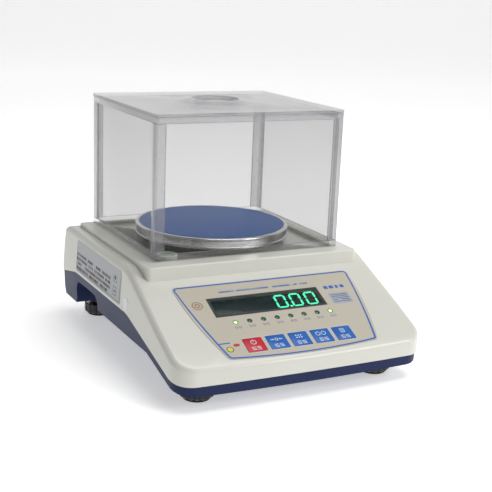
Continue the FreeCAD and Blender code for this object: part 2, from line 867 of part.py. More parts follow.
def build_bottom_housing():
    core = tray_form("tray_core", s.wall + s.tray_inset, s.wall, 10.0, s.wall)
    screw_columns = add_circles(core, 0, case_screw_places, s.case_boss_radius)
    pocket(core, screw_columns, up=True)
    foot_columns = add_circles(core, 0, foot_places.values(), foot_boss_radius)
    pocket(core, foot_columns, s.insert_top + 1.0, up=True)

    body = tray_form("bottom_housing", s.tray_inset, 0, -s.seam_gap, 0)
    sockets = add_circles(body, s.foot_height, foot_places.values(), foot_boss_radius)
    pad(body, sockets, s.underside_height - s.foot_height - s.wall)
    hollow = body.newObject("PartDesign::Boolean", "tray_hollow")
    hollow.Type = "Cut"
    hollow.addObjects([core])
    document.recompute()

    inserts = add_circles(body, s.foot_height, foot_places.values(), insert_radius)
    pocket(body, inserts, s.insert_top - s.foot_height, up=True)
    studs = add_circles(body, s.foot_height, foot_places.values(), s.foot_stud_radius + 0.3)
    pocket(body, studs, s.insert_top, up=True)
    clearance_holes = add_circles(body, 0, case_screw_places,
                                  s.case_screw_radius + s.case_screw_clearance)
    pocket(body, clearance_holes, up=True)
    head_radius = s.case_head_radius + s.case_screw_clearance
    for places, underside in ((case_screw_places[:2], s.underside_height),
                              (case_screw_places[2:], s.underside_rear_height)):
        heads = add_circles(body, 0, places, head_radius)
        pocket(body, heads, underside + s.case_head_height + s.case_screw_clearance, up=True)

    floor = s.underside_height + s.wall
    standoffs = add_circles(body, floor - s.wall / 2, standoff_places(), s.post_radius)
    pad(body, standoffs, s.wall / 2 + s.standoff_height)
    rear_floor = s.underside_rear_height + s.wall
    pads = add_circles(body, rear_floor - s.wall / 2,
                       [(s.socket_board_x + side * (s.socket_board_width / 2 - s.post_radius),
                         socket_board_y) for side in left_and_right], s.post_radius)
    pad(body, pads, s.wall / 2 + s.socket_board_pad)

    rear = new_sketch(body, "XZ_Plane", z=-(rear_y + 1.0))
    for width, height, x in ((s.port_width, s.port_height, s.port_x),
                             (s.jack_width, s.jack_height, s.jack_x)):
        add_outline(rear, rectangle(width + 2 * s.socket_clearance, height + 2 * s.socket_clearance,
                                    0.5, x=x, y=port_z))
    pocket(body, rear, s.tray_rear_inset + 2 * s.wall + 2.0, up=True)
    return keep(body)


def screw(name, x, y, head_z, head_radius, head_height, shank_radius, shank_tip, socket_radius=None):
    """A round-headed screw; the shank runs from the head to the height shank_tip."""
    upward = number_of(shank_tip) > number_of(head_z)
    head = rod(f"{name}_head", head_radius, head_height, x, y, head_z)
    if upward:
        shank = rod(f"{name}_shank", shank_radius, shank_tip - head_z, x, y, head_z)
        socket_z = head_z
    else:
        shank = rod(f"{name}_shank", shank_radius, head_z + head_height - shank_tip, x, y, shank_tip)
        socket_z = head_z + head_height / 2
    solid = fuse(f"{name}_blank", [head, shank])
    socket = document.addObject("Part::Prism", f"{name}_socket")
    socket.Polygon = 6
    for prop, value in (("Circumradius", socket_radius or head_radius * 0.45), ("Height", head_height / 2)):
        setattr(socket, prop, number_of(value))
        bind(socket, prop, value)
    place(socket, x, y, socket_z)
    return cut(name, solid, socket)


def build_case_screws():
    screws = []
    for index, (x, y) in enumerate(case_screw_places):
        underside = s.underside_height if index < 2 else s.underside_rear_height
        screws.append(screw(f"case_screw_{index + 1}", x, y, underside + s.case_screw_clearance,
                            s.case_head_radius, s.case_head_height, s.case_screw_radius,
                            s.seam_height + 1.5))
    return keep(group("case_screws", screws))


# ---------------------------------------------------------------- console

def console_body(name):
    """A body whose XY plane is the console face, with +Y up the slope."""
    return new_body(name, 0, console_foot_y, s.console_foot_height, s.console_tilt)


def console_plate(name, corners, top, thickness, holes=()):
    """A plate parallel to the console; top is its height above the console face."""
    body = console_body(name)
    sketch = new_sketch(body, "XY_Plane", z=top - thickness)
    add_outline(sketch, corners)
    for u, v, radius in holes:
        add_circle(sketch, u, v, radius)
    pad(body, sketch, thickness)
    return body


def console_discs(name, places, radius, top, thickness):
    body = console_body(name)
    sketch = new_sketch(body, "XY_Plane", z=top - thickness)
    for u, v in places:
        add_circle(sketch, u, v, radius)
    pad(body, sketch, thickness)
    return body


def key_outline(place_uv, spread, radius):
    return rectangle(s.key_width + 2 * spread, s.key_height + 2 * spread, radius,
                     x=place_uv[0], y=place_uv[1])


def build_overlay():
    body = console_body("console_overlay")
    base = s.overlay_proud - s.overlay_thickness
    sketch = new_sketch(body, "XY_Plane", z=base)
    add_outline(sketch, overlay_outline(0))
    add_outline(sketch, rectangle(s.window_width + 2 * s.window_clearance,
                                  s.window_height + 2 * s.window_clearance, 0.6,
                                  x=s.window_x, y=s.window_y))
    for u, v in led_places:
        add_circle(sketch, u, v, s.led_radius + s.led_clearance)
    for key_place in key_places:
        add_outline(sketch, key_outline(key_place, s.key_clearance, s.key_corner_radius))
    pad(body, sketch, s.overlay_thickness)
    return keep(body)


def build_keys():
    """Five keys; each is a cap in its cut-out on a stem that reaches its switch."""
    floor = s.overlay_proud - s.overlay_thickness
    cap_bottom = floor + s.key_travel + 0.1
    top = s.overlay_proud + s.key_proud
    stem_bottom = s.switch_height - s.console_board_depth + s.key_gap
    for name, key_place in zip(("power", "tare", "count", "unit", "print"), key_places):
        body = console_body(f"key_{name}")
        cap = new_sketch(body, "XY_Plane", z=cap_bottom)
        add_outline(cap, key_outline(key_place, 0, s.key_corner_radius))
        pad(body, cap, top - cap_bottom)
        stem = new_sketch(body, "XY_Plane", z=stem_bottom)
        add_circle(stem, key_place[0], key_place[1], s.key_stem_radius)
        pad(body, stem, cap_bottom - stem_bottom)
        keep(body)


def build_console():
    build_overlay()
    build_keys()
    floor = s.overlay_proud - s.overlay_thickness
    keep(console_plate("display_window",
                       rectangle(s.window_width, s.window_height, 0.5, x=s.window_x, y=s.window_y),
                       s.overlay_proud, s.overlay_proud - floor))
    board_top = -s.console_board_depth
    keep(console_plate("display_module",
                       rectangle(s.module_width, s.module_height, 0.5, x=s.window_x, y=s.window_y),
                       floor - s.module_gap, s.console_board_depth + floor - s.module_gap))
    keep(console_discs("indicator_leds", led_places, s.led_radius, s.overlay_proud,
                       s.console_board_depth + s.overlay_proud))
    switches = console_body("key_switches")
    sketch = new_sketch(switches, "XY_Plane", z=board_top)
    for key_place in key_places:
        add_outline(sketch, rectangle(s.switch_width, s.switch_width, 0.5,
                                      x=key_place[0], y=key_place[1]))
    pad(switches, sketch, s.switch_height)
    keep(switches)
    keep(console_plate("console_board",
                       rectangle(s.console_board_width, s.console_board_height, 1.0,
                                 y=s.console_board_y),
                       board_top, s.board_thickness,
                       [(u, v, s.board_screw_radius + 0.1) for u, v in board_post_places]))
    keep(console_plate("information_tag",
                       rectangle(s.tag_width, s.tag_height, 1.5, x=s.tag_x, y=s.tag_y),
                       s.overlay_proud + s.sticker_thickness, s.sticker_thickness))
    keep(console_discs("panel_badge", [(s.badge_x, s.badge_y)], s.badge_radius,
                       s.overlay_proud + s.sticker_thickness, s.sticker_thickness))
    screws = console_discs("board_screws", board_post_places, s.board_screw_radius * 2,
                           board_top - s.board_thickness, 1.6)
    shanks = new_sketch(screws, "XY_Plane", z=board_top - s.board_thickness)
    for u, v in board_post_places:
        add_circle(shanks, u, v, s.board_screw_radius)
    pad(screws, shanks, s.board_thickness + 5.0)
    keep(screws)


# ----------------------------------------------------- weighing mechanism

def build_load_cell():
    """An aluminium beam with the paired holes that make its thin bending webs."""
    body = new_body("load_cell")
    front = pan_y - s.beam_length / 2
    sketch = new_sketch(body, "YZ_Plane", z=-s.beam_width / 2)
    add_outline(sketch, rectangle(s.beam_length, s.beam_height, 1.0, x=pan_y,
                                  y=s.beam_bottom + s.beam_height / 2))
    pad(body, sketch, s.beam_width)
    windows = new_sketch(body, "YZ_Plane")
    middle_z = s.beam_bottom + s.beam_height / 2
    for side in left_and_right:
        add_circle(windows, pan_y + side * s.beam_hole_pitch / 2, middle_z, s.beam_hole_radius)
    pocket(body, windows, both_ways=True)
    slot = new_sketch(body, "YZ_Plane")
    add_outline(slot, rectangle(s.beam_hole_pitch, s.beam_hole_radius, x=pan_y, y=middle_z))
    pocket(body, slot, both_ways=True)
    bolts = new_sketch(body, "XY_Plane", z=s.beam_bottom)
    for y in (front + s.beam_bolt_inset, front + s.beam_bolt_inset + s.beam_bolt_pitch,
              front + s.beam_length - s.beam_bolt_inset,
              front + s.beam_length - s.beam_bolt_inset - s.beam_bolt_pitch):
        add_circle(bolts, 0, y, s.cell_bolt_radius)
    pocket(body, bolts, s.beam_height, up=True)
    return keep(body)


def build_load_cell_base():
    """Steel plate on the tray floor, with a riser under the beam's fixed rear end."""
    body = new_body("load_cell_base")
    floor = s.underside_height + s.wall
    rear = pan_y + s.beam_length / 2
    plate = new_sketch(body, "XY_Plane", z=floor)
    add_outline(plate, rectangle(s.base_plate_width, base_plate_rear - base_plate_front, 3.0,
                                 y=(base_plate_front + base_plate_rear) / 2))
    pad(body, plate, s.base_plate_thickness)
    riser = new_sketch(body, "XY_Plane", z=floor)
    riser_length = 2 * s.beam_bolt_inset + s.beam_bolt_pitch
    add_outline(riser, rectangle(s.beam_width, riser_length, 1.0, y=rear - riser_length / 2))
    pad(body, riser, s.beam_bottom - floor)
    foot = new_sketch(body, "XY_Plane", z=s.underside_rear_height + s.wall)
    add_outline(foot, rectangle(s.beam_width, s.base_foot_length, 1.0, y=base_foot_y))
    pad(body, foot, s.underside_height - s.underside_rear_height)
    bolts = new_sketch(body, "XY_Plane", z=floor)
    for y in (rear - s.beam_bolt_inset, rear - s.beam_bolt_inset - s.beam_bolt_pitch):
        add_circle(bolts, 0, y, s.cell_bolt_radius)
    pocket(body, bolts, up=True)
    for side in left_and_right:
        thread = new_sketch(body, "XY_Plane", z=floor)
        add_circle(thread, side * s.stop_x, stop_y, s.stop_radius)
        pocket(body, thread, up=True)
    return keep(body)


def build_weighing_mechanism():
    build_load_cell()
    build_load_cell_base()
    floor = s.underside_height + s.wall
    beam_top = s.beam_bottom + s.beam_height
    front = pan_y - s.beam_length / 2
    rear = pan_y + s.beam_length / 2
    rear_bolts = (rear - s.beam_bolt_inset, rear - s.beam_bolt_inset - s.beam_bolt_pitch)
    front_bolts = (front + s.beam_bolt_inset, front + s.beam_bolt_inset + s.beam_bolt_pitch)
    clamps = [screw(f"cell_clamp_{index + 1}", 0, y, beam_top, s.cell_bolt_radius * 1.7, 3.0,
                    s.cell_bolt_radius, floor + 1.0)
              for index, y in enumerate(rear_bolts)]
    keep(group("load_cell_bolts", clamps))
    stops = [rod(f"overload_stop_{index + 1}", s.stop_radius,
                 s.beam_bottom - s.stop_gap - floor, side * s.stop_x, stop_y, floor)
             for index, side in enumerate(left_and_right)]
    keep(group("overload_stops", stops))

    bracket = new_body("pan_bracket")
    spacer = new_sketch(bracket, "XY_Plane", z=beam_top)
    spacer_length = 2 * s.beam_bolt_inset + s.beam_bolt_pitch
    add_outline(spacer, rectangle(s.beam_width, spacer_length, 1.0, y=front + spacer_length / 2))
    pad(bracket, spacer, s.bracket_pad_height)
    arm = new_sketch(bracket, "XY_Plane", z=beam_top + s.bracket_pad_height)
    add_outline(arm, rectangle(s.bracket_width, s.bracket_length, 3.0,
                               y=front + s.bracket_length / 2))
    pad(bracket, arm, s.bracket_thickness)
    holes = new_sketch(bracket, "XY_Plane", z=beam_top)
    for y in front_bolts:
        add_circle(holes, 0, y, s.cell_bolt_radius)
    pocket(bracket, holes, up=True)
    keep(bracket)
    arm_top = beam_top + s.bracket_pad_height + s.bracket_thickness
    bolts = [screw(f"bracket_bolt_{index + 1}", 0, y, arm_top, s.cell_bolt_radius * 1.7, 3.0,
                   s.cell_bolt_radius, s.beam_bottom + 5.0)
             for index, y in enumerate(front_bolts)]
    keep(group("bracket_bolts", bolts))

    recess_floor = s.plateau_height - s.recess_drop
    support_bottom = recess_floor + s.support_gap
    plate_bottom = s.pan_top - s.pan_thickness
    support_top = plate_bottom - s.cushion_height
    spindle_top = support_bottom + s.support_wall + 3.0
    keep(turned_body("pan_spindle", [
        (0, 0), (s.hub_radius, 0), (s.hub_radius, s.hub_height),
        (s.spindle_radius + s.spindle_shoulder, s.hub_height + 2.0),
        (s.spindle_radius + s.spindle_shoulder, support_bottom - arm_top),
        (s.spindle_radius, support_bottom - arm_top),
        (s.spindle_radius, spindle_top - arm_top), (0, spindle_top - arm_top)],
        y=pan_y, z=arm_top))
    wall = s.support_wall
    keep(turned_body("pan_support", [
        (s.spindle_radius, 0), (s.spindle_radius + 5.0, 0), (s.spindle_radius + 5.0, wall + 2.0),
        (support_top_radius - wall, support_top - support_bottom - wall),
        (support_top_radius, 0), (support_radius, 0), (support_radius, wall),
        (support_top_radius + 2.0, wall),
        (support_top_radius, support_top - support_bottom),
        (s.spindle_radius + 4.0, support_top - support_bottom),
        (s.spindle_radius, wall + 4.0)],
        y=pan_y, z=support_bottom))
    diagonal = cushion_circle_radius * math.sqrt(0.5)
    cushions = [rod(f"cushion_{index + 1}", s.cushion_radius, s.cushion_height,
                    x_side * diagonal, pan_y + y_side * diagonal, support_top)
                for index, (x_side, y_side) in enumerate(((-1, -1), (1, -1), (1, 1), (-1, 1)))]
    keep(group("support_cushions", cushions))
    keep(turned_body("spindle_collar", [
        (boss_hole_radius, 0), (collar_radius, 0), (collar_radius, s.collar_height),
        (boss_hole_radius, s.collar_height)], y=pan_y, z=recess_floor))

    bead = s.pan_bead_radius
    pan = turned_body("weighing_pan", [
        (0, s.pan_skirt_height - s.pan_thickness),
        (s.pan_radius - bead, s.pan_skirt_height - s.pan_thickness),
        (s.pan_radius - bead, bead * 2), (s.pan_radius - bead, 0),
        (s.pan_radius, 0, bead * 0.6), (s.pan_radius, bead * 2, bead * 0.6),
        (s.pan_radius - bead * 0.4, bead * 2.2),
        (s.pan_radius - bead * 0.4, s.pan_skirt_height - bead * 2.2),
        (s.pan_radius, s.pan_skirt_height - bead * 2, bead * 0.6),
        (s.pan_radius, s.pan_skirt_height, bead * 0.6),
        (0, s.pan_skirt_height)], y=pan_y, z=s.pan_top - s.pan_skirt_height)
    keep(pan)
    keep(rod("pan_film", film_radius, s.film_thickness, 0, pan_y, s.pan_top))


def build_spirit_level():
    floor = s.plateau_height - s.recess_drop
    inner = s.level_radius - s.level_wall
    glass_bottom = s.level_height - s.level_glass
    keep(turned_body("level_cup", [
        (0, 0), (s.level_radius, 0), (s.level_radius, s.level_height),
        (inner, s.level_height), (inner, s.level_wall), (0, s.level_wall)],
        level_x, level_y, floor))
    keep(turned_body("level_glass", [
        (0, glass_bottom), (inner, glass_bottom), (inner, s.level_height), (0, s.level_height)],
        level_x, level_y, floor))
    keep(turned_body("level_liquid", [
        (0, s.level_wall), (inner, s.level_wall), (inner, glass_bottom), (s.bubble_radius, glass_bottom),
        (s.bubble_radius, glass_bottom - 1.0), (0, glass_bottom - 1.0)],
        level_x, level_y, floor))


# ----------------------------------------------------------- draft shield

def shield_ring(name, z, height, width, depth, thickness, radius=0):
    """A rectangular frame around the shield, from its outer size and rail width."""
    body = new_body(name, 0, pan_y, z)
    sketch = new_sketch(body, "XY_Plane")
    add_outline(sketch, rectangle(width, depth, radius))
    add_outline(sketch, rectangle(width - 2 * thickness, depth - 2 * thickness))
    pad(body, sketch, height)
    return body


def build_shield():
    bottom = s.plateau_height
    foot_width = (s.shield_width - recess_width) / 2 + s.lip_clearance + s.lip_thickness
    rail = shield_ring("shield_bottom_rail", bottom, s.rail_height, s.shield_width, s.shield_depth,
                       foot_width)
    lip_width = recess_width - 2 * s.lip_clearance
    lip_depth = recess_depth - 2 * s.lip_clearance
    lip = new_sketch(rail, "XY_Plane", z=-s.lip_drop)
    add_outline(lip, rectangle(lip_width, lip_depth, s.recess_corner_radius))
    add_outline(lip, rectangle(lip_width - 2 * s.lip_thickness, lip_depth - 2 * s.lip_thickness))
    pad(rail, lip, s.lip_drop)
    keep(rail)
    top_rail_z = s.shield_top - s.rail_height
    keep(shield_ring("shield_top_rail", top_rail_z, s.rail_height, s.shield_width, s.shield_depth,
                     s.rail_width))

    post_bottom = bottom + s.rail_height
    post_height = top_rail_z - post_bottom
    posts = []
    for index, (x_side, y_side) in enumerate(((-1, -1), (1, -1), (1, 1), (-1, 1))):
        x = x_side * (s.shield_width / 2 - s.post_width / 2)
        y = pan_y + y_side * (s.shield_depth / 2 - s.post_depth / 2)
        blank = block(f"post_{index + 1}_blank", s.post_width, s.post_depth, post_height,
                      x - s.post_width / 2, y - s.post_depth / 2, post_bottom)
        inner_x = x - s.post_width / 2 - x_side * s.post_wall
        inner_y = y - s.post_depth / 2 - y_side * s.post_wall
        notch = block(f"post_{index + 1}_notch", s.post_width, s.post_depth, post_height,
                      inner_x, inner_y, post_bottom)
        posts.append(cut(f"post_{index + 1}", blank, notch))
    keep(group("shield_posts", posts))

    wide = s.shield_width - 2 * s.post_width
    deep = s.shield_depth - 2 * s.post_depth
    edge_x = s.shield_width / 2 - s.panel_inset
    edge_y = s.shield_depth / 2 - s.panel_inset
    thick = s.panel_thickness
    keep(block("shield_front_panel", wide, thick, post_height,
               -wide / 2, pan_y - edge_y, post_bottom))
    keep(block("shield_rear_panel", wide, thick, post_height,
               -wide / 2, pan_y + edge_y - thick, post_bottom))
    keep(block("shield_left_panel", thick, deep, post_height,
               -edge_x, pan_y - deep / 2, post_bottom))
    keep(block("shield_right_panel", thick, deep, post_height,
               edge_x - thick, pan_y - deep / 2, post_bottom))


def build_lid():
    """A clear lid with a moulded grip: a low cone around a round finger well."""
    body = new_body("shield_lid", 0, pan_y, s.shield_top)
    plate = new_sketch(body, "XY_Plane")
    add_outline(plate, rectangle(s.shield_width + 2 * s.lid_overhang,
                                 s.shield_depth + 2 * s.lid_overhang, s.lid_corner_radius))
    pad(body, plate, s.lid_thickness)
    top = s.lid_thickness
    grip = new_sketch(body, "XZ_Plane")
    well_bottom = top - s.grip_well_depth
    under_well = well_bottom - s.lid_thickness
    add_outline(grip, [
        (0, under_well), (s.grip_well_radius + s.lid_thickness, under_well),
        (s.grip_rim_radius + s.lid_thickness, 0), (s.grip_radius, 0),
        (s.grip_radius, top), (s.grip_rim_radius, top + s.grip_height),
        (0, top + s.grip_height)])
    spin(body, grip)
    well = new_sketch(body, "XZ_Plane")
    add_outline(well, [
        (0, well_bottom), (s.grip_well_radius, well_bottom),
        (s.grip_rim_radius - s.grip_rim_width, top + s.grip_height),
        (s.grip_rim_radius - s.grip_rim_width, top + 2 * s.grip_height),
        (0, top + 2 * s.grip_height)])
    spin(body, well, "PartDesign::Groove")
    under = new_sketch(body, "XY_Plane", z=under_well)
    inner = (s.grip_rim_radius + s.grip_radius) / 2
    add_circle(under, 0, 0, inner + 4.0)
    add_circle(under, 0, 0, s.grip_rim_radius + s.lid_thickness)
    pocket(body, under, s.lid_thickness + s.grip_well_depth - top + 0.8, up=True)
    return keep(body)


# --------------------------------------------------------- levelling feet

def build_foot(corner, x, y):
    """Rubber pad that only rises and falls, and a lobed wheel that turns on a screw."""
    height = s.foot_pad_height
    keep(turned_body(f"foot_pad_{corner}", [
        (0, 0), (s.foot_pad_radius - 0.8, 0), (s.foot_pad_radius, 0.8), (s.foot_pad_radius, height),
        (foot_socket_radius, height), (foot_socket_radius, 1.0), (0, 1.0)], x, y))
    wheel = new_body(f"foot_wheel_{corner}", x, y)
    bottom = height + s.foot_gap
    blank = new_sketch(wheel, "XZ_Plane")
    add_outline(blank, [
        (0, 1.0 + s.foot_gap), (s.foot_stud_radius, 1.0 + s.foot_gap), (s.foot_stud_radius, bottom),
        (s.foot_radius - 1.5, bottom), (s.foot_radius, bottom + 1.5),
        (s.foot_radius, s.foot_height - 2.5), (s.foot_radius - 1.0, s.foot_height - 1.5),
        (foot_boss_radius - 1.0, s.foot_height - 1.5),
        (foot_boss_radius - 1.0, s.foot_height), (s.foot_stud_radius, s.foot_height),
        (s.foot_stud_radius, bottom + 2.0), (0, bottom + 2.0)])
    spin(wheel, blank)
    flute = new_sketch(wheel, "XY_Plane", z=bottom)
    flute_radius = s.foot_lobe_depth * 1.4
    add_circle(flute, s.foot_radius + flute_radius - s.foot_lobe_depth, 0, flute_radius)
    first = pocket(wheel, flute, s.foot_height, up=True)
    pattern = wheel.newObject("PartDesign::PolarPattern", f"{wheel.Name}_flutes")
    pattern.Originals = [first]
    pattern.Axis = (flute, ["N_Axis"])
    pattern.Angle = 360
    pattern.Occurrences = int(s.foot_lobes.number)
    bind(pattern, "Occurrences", s.foot_lobes)
    wheel.Tip = pattern
    document.recompute()
    keep(wheel)
    keep(turned_body(f"foot_stud_{corner}", [
        (0, bottom + 2.0), (s.foot_stud_radius, bottom + 2.0), (s.foot_stud_radius, s.foot_stud_top - 1.0),
        (s.foot_stud_radius - 1.0, s.foot_stud_top), (0, s.foot_stud_top)], x, y))


def build_feet():
    for corner, (x, y) in foot_places.items():
        build_foot(corner, x, y)
    sleeves = []
    for corner, (x, y) in foot_places.items():
        height = s.insert_top - s.foot_height
        outer = rod(f"insert_{corner}_blank", insert_radius, height, x, y, s.foot_height)
        bore = rod(f"insert_{corner}_bore", s.foot_stud_radius + s.insert_clearance, height,
                   x, y, s.foot_height)
        sleeves.append(cut(f"insert_{corner}", outer, bore))
    keep(group("foot_inserts", sleeves))


# ------------------------------------------------- tray electronics, rear

def standoff_places():
    half_width = s.main_board_width / 2 - s.post_radius - 1.0
    half_length = s.main_board_length / 2 - s.post_radius - 1.0
    return [(s.main_board_x + x_side * half_width, main_board_y + y_side * half_length)
            for x_side in left_and_right for y_side in left_and_right]


def build_electronics():
    floor = s.underside_height + s.wall
    board_bottom = floor + s.standoff_height
    keep(block("main_board", s.main_board_width, s.main_board_length, s.board_thickness,
               s.main_board_x - s.main_board_width / 2, main_board_y - s.main_board_length / 2,
               board_bottom))
    top = board_bottom + s.board_thickness
    # length, width and height of each chip, and its middle from the board's middle
    chip_sizes = {"processor": (14.0, 14.0, 1.6, -9.0, 11.0), "converter": (10.0, 7.0, 1.6, 11.0, 19.5),
                  "regulator": (10.0, 4.5, 9.0, -9.0, -27.7)}
    # radius and height of each capacitor, and its middle from the board's middle
    capacitor_sizes = {"large_capacitor": (5.0, 12.0, 10.0, -26.0),
                       "small_capacitor": (4.0, 9.0, 10.0, -12.0)}
    chips = [block(name, length, width, height, s.main_board_x + x - length / 2,
                   main_board_y + y - width / 2, top)
             for name, (length, width, height, x, y) in chip_sizes.items()]
    chips += [rod(name, radius, height, s.main_board_x + x, main_board_y + y, top)
              for name, (radius, height, x, y) in capacitor_sizes.items()]
    keep(group("board_components", chips))

    keep(block("socket_board", s.socket_board_width, s.socket_board_length, s.board_thickness,
               s.socket_board_x - s.socket_board_width / 2,
               socket_board_y - s.socket_board_length / 2, socket_board_bottom))
    port = block("serial_port_blank", s.port_width, s.port_length, s.port_height,
                 s.port_x - s.port_width / 2, inner_rear_y - s.port_length + s.wall,
                 port_z - s.port_height / 2)
    port_well = block("serial_port_well", s.port_width - 2 * s.port_well_margin, s.port_well_depth,
                      s.port_height - 2 * s.port_well_rim,
                      s.port_x - s.port_width / 2 + s.port_well_margin,
                      inner_rear_y + s.wall - s.port_well_depth,
                      port_z - s.port_height / 2 + s.port_well_rim)
    keep(cut("serial_port", port, port_well))
    jack = block("power_jack_blank", s.jack_width, s.jack_length, s.jack_height,
                 s.jack_x - s.jack_width / 2, inner_rear_y - s.jack_length + s.wall,
                 port_z - s.jack_height / 2)
    bore = document.addObject("Part::Cylinder", "power_jack_bore")
    for prop, value in (("Radius", s.jack_bore_radius), ("Height", s.jack_length - 3.0)):
        setattr(bore, prop, number_of(value))
        bind(bore, prop, value)
    place(bore, s.jack_x, inner_rear_y + s.wall, port_z, tilt=Size(90.0, "90"))
    pin = document.addObject("Part::Cylinder", "power_jack_pin")
    for prop, value in (("Radius", s.jack_pin_radius), ("Height", s.jack_length - 2.0)):
        setattr(pin, prop, number_of(value))
        bind(pin, prop, value)
    place(pin, s.jack_x, inner_rear_y + s.wall - 1.0, port_z, tilt=Size(90.0, "90"))
    keep(fuse("power_jack", [cut("power_jack_shell", jack, bore), pin]))


# ----------------------------------------------------------------- labels

def side_sticker(name, y, z):
    """An empty body whose YZ plane lies just off the sloping left wall at (y, z)."""
    body = new_body(name)
    wall_x = -s.body_width / 2 + (z - s.seam_height) * tangent(s.side_draft)
    x = wall_x - s.sticker_thickness - s.sticker_gap
    body.Placement = Placement(Vector(x.number, y.number, z.number),
                               Rotation(Vector(0, 1, 0), s.side_draft.number))
    bind(body, "Placement.Base.x", x)
    bind(body, "Placement.Base.y", y)
    bind(body, "Placement.Base.z", z)
    bind(body, "Placement.Rotation.Angle", s.side_draft)
    return body


def build_labels():
    """A silver plate and a round tamper seal on the left wall."""
    label = side_sticker("rating_label", label_y, s.label_z)
    plate = new_sketch(label, "YZ_Plane")
    add_outline(plate, rectangle(s.label_length, s.label_height, s.label_corner_radius))
    pad(label, plate, s.sticker_thickness)
    keep(label)
    seal = side_sticker("calibration_seal", seal_y, s.seal_z)
    disc = new_sketch(seal, "YZ_Plane")
    add_circle(disc, 0, 0, s.seal_radius)
    pad(seal, disc, s.sticker_thickness)
    keep(seal)


# ------------------------------------------------------------------ write

def check_document():
    document.recompute()
    for thing in document.Objects:
        if "Invalid" in thing.State or "Error" in thing.State:
            raise RuntimeError(f"{thing.Label} failed: {thing.State}")
    for name, thing in nodes.items():
        if thing.Shape.isNull() or not thing.Shape.isValid():
            raise RuntimeError(f"{name} has no valid shape")


def write_parts():
    os.makedirs("parts", exist_ok=True)
    for name, thing in nodes.items():
        thing.Shape.exportStep(f"parts/{name}.step")


build_top_housing()
build_bottom_housing()
build_case_screws()
build_console()
build_weighing_mechanism()
build_spirit_level()
build_shield()
build_lid()
build_feet()
build_electronics()
build_labels()
check_document()
write_parts()
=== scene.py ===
import json
import math

import bmesh
import bpy
from mathutils import Matrix, Vector

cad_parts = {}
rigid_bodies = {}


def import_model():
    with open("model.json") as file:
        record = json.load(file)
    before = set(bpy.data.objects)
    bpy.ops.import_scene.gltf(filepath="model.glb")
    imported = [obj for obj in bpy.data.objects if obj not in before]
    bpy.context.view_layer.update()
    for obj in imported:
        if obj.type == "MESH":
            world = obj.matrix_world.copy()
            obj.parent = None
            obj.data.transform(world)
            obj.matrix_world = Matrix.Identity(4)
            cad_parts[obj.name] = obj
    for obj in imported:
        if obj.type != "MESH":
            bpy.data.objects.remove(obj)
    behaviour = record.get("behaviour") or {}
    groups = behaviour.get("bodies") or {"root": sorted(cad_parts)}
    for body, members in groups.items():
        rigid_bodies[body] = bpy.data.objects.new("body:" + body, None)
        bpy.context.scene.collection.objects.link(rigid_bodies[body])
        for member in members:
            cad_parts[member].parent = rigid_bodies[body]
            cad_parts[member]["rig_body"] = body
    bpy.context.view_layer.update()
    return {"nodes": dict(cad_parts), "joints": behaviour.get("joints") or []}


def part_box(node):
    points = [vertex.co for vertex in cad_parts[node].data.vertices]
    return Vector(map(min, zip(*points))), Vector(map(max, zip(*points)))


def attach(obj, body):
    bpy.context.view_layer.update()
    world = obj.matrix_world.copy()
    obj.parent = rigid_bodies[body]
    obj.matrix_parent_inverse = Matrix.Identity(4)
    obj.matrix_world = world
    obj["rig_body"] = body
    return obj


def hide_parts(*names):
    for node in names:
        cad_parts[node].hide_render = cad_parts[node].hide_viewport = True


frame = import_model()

# Looks for an electronic precision balance: casing, printed console, round
# pan and a clear draft shield. Lengths are in metres, in the frame's axes.

MM = 0.001
nodes = frame["nodes"]

# The console is a plane through this line; its tilt is the keys' direction.
CONSOLE_FOOT = Vector((0, -41.7, 72.5)) * MM
key_press = next(joint for joint in frame["joints"] if joint["name"] == "power_key_press")
CONSOLE_NORMAL = -Vector(key_press["axis"]).normalized()
CONSOLE_UP = Vector((0, CONSOLE_NORMAL.z, -CONSOLE_NORMAL.y))
OVERLAY_TOP = 0.2 * MM
KEY_TOP = 0.35 * MM
# The tag and the badge are plates of this thickness.
PLATE = 0.15 * MM
PRINT = 0.05 * MM
# Points this close together are made one, in a node's mesh and in a thin sheet.
JOIN, SHEET_JOIN = 1e-6, 1e-7
# Faces that turn less than this many degrees are made one flat face.
FLAT_WITHIN = 0.5
KEYS = ("power", "tare", "count", "unit", "print")
CORNERS = ("front_left", "front_right", "rear_left", "rear_right")


def placed(across, up, out, origin):
    """A matrix that lays a flat piece with its axes along across, up and out."""
    place = Matrix((across, up, out)).transposed().to_4x4()
    place.translation = origin
    return place


def console_place(u=0.0, v=0.0, height=0.0):
    """A matrix that lays a flat piece on the console, u across and v up the slope."""
    across = Vector((1, 0, 0))
    return placed(across, CONSOLE_UP, CONSOLE_NORMAL,
                  CONSOLE_FOOT + across * u + CONSOLE_UP * v + CONSOLE_NORMAL * height)


def laid_flat(point):
    """Where a point falls on the console, as (u, v)."""
    offset = point - CONSOLE_FOOT
    return offset.x, offset.dot(CONSOLE_UP)


def middle(node):
    low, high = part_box(node)
    return (low + high) / 2


def on_console(node):
    """Where a node's middle falls on the console, as (u, v)."""
    return laid_flat(middle(node))


def paint(red, green, blue):
    """A colour given as it looks on a screen, 0 to 255, as linear values."""
    def linear(value):
        value /= 255
        return value / 12.92 if value <= 0.04045 else ((value + 0.055) / 1.055) ** 2.4
    return (linear(red), linear(green), linear(blue), 1.0)


# ---- node trees ----

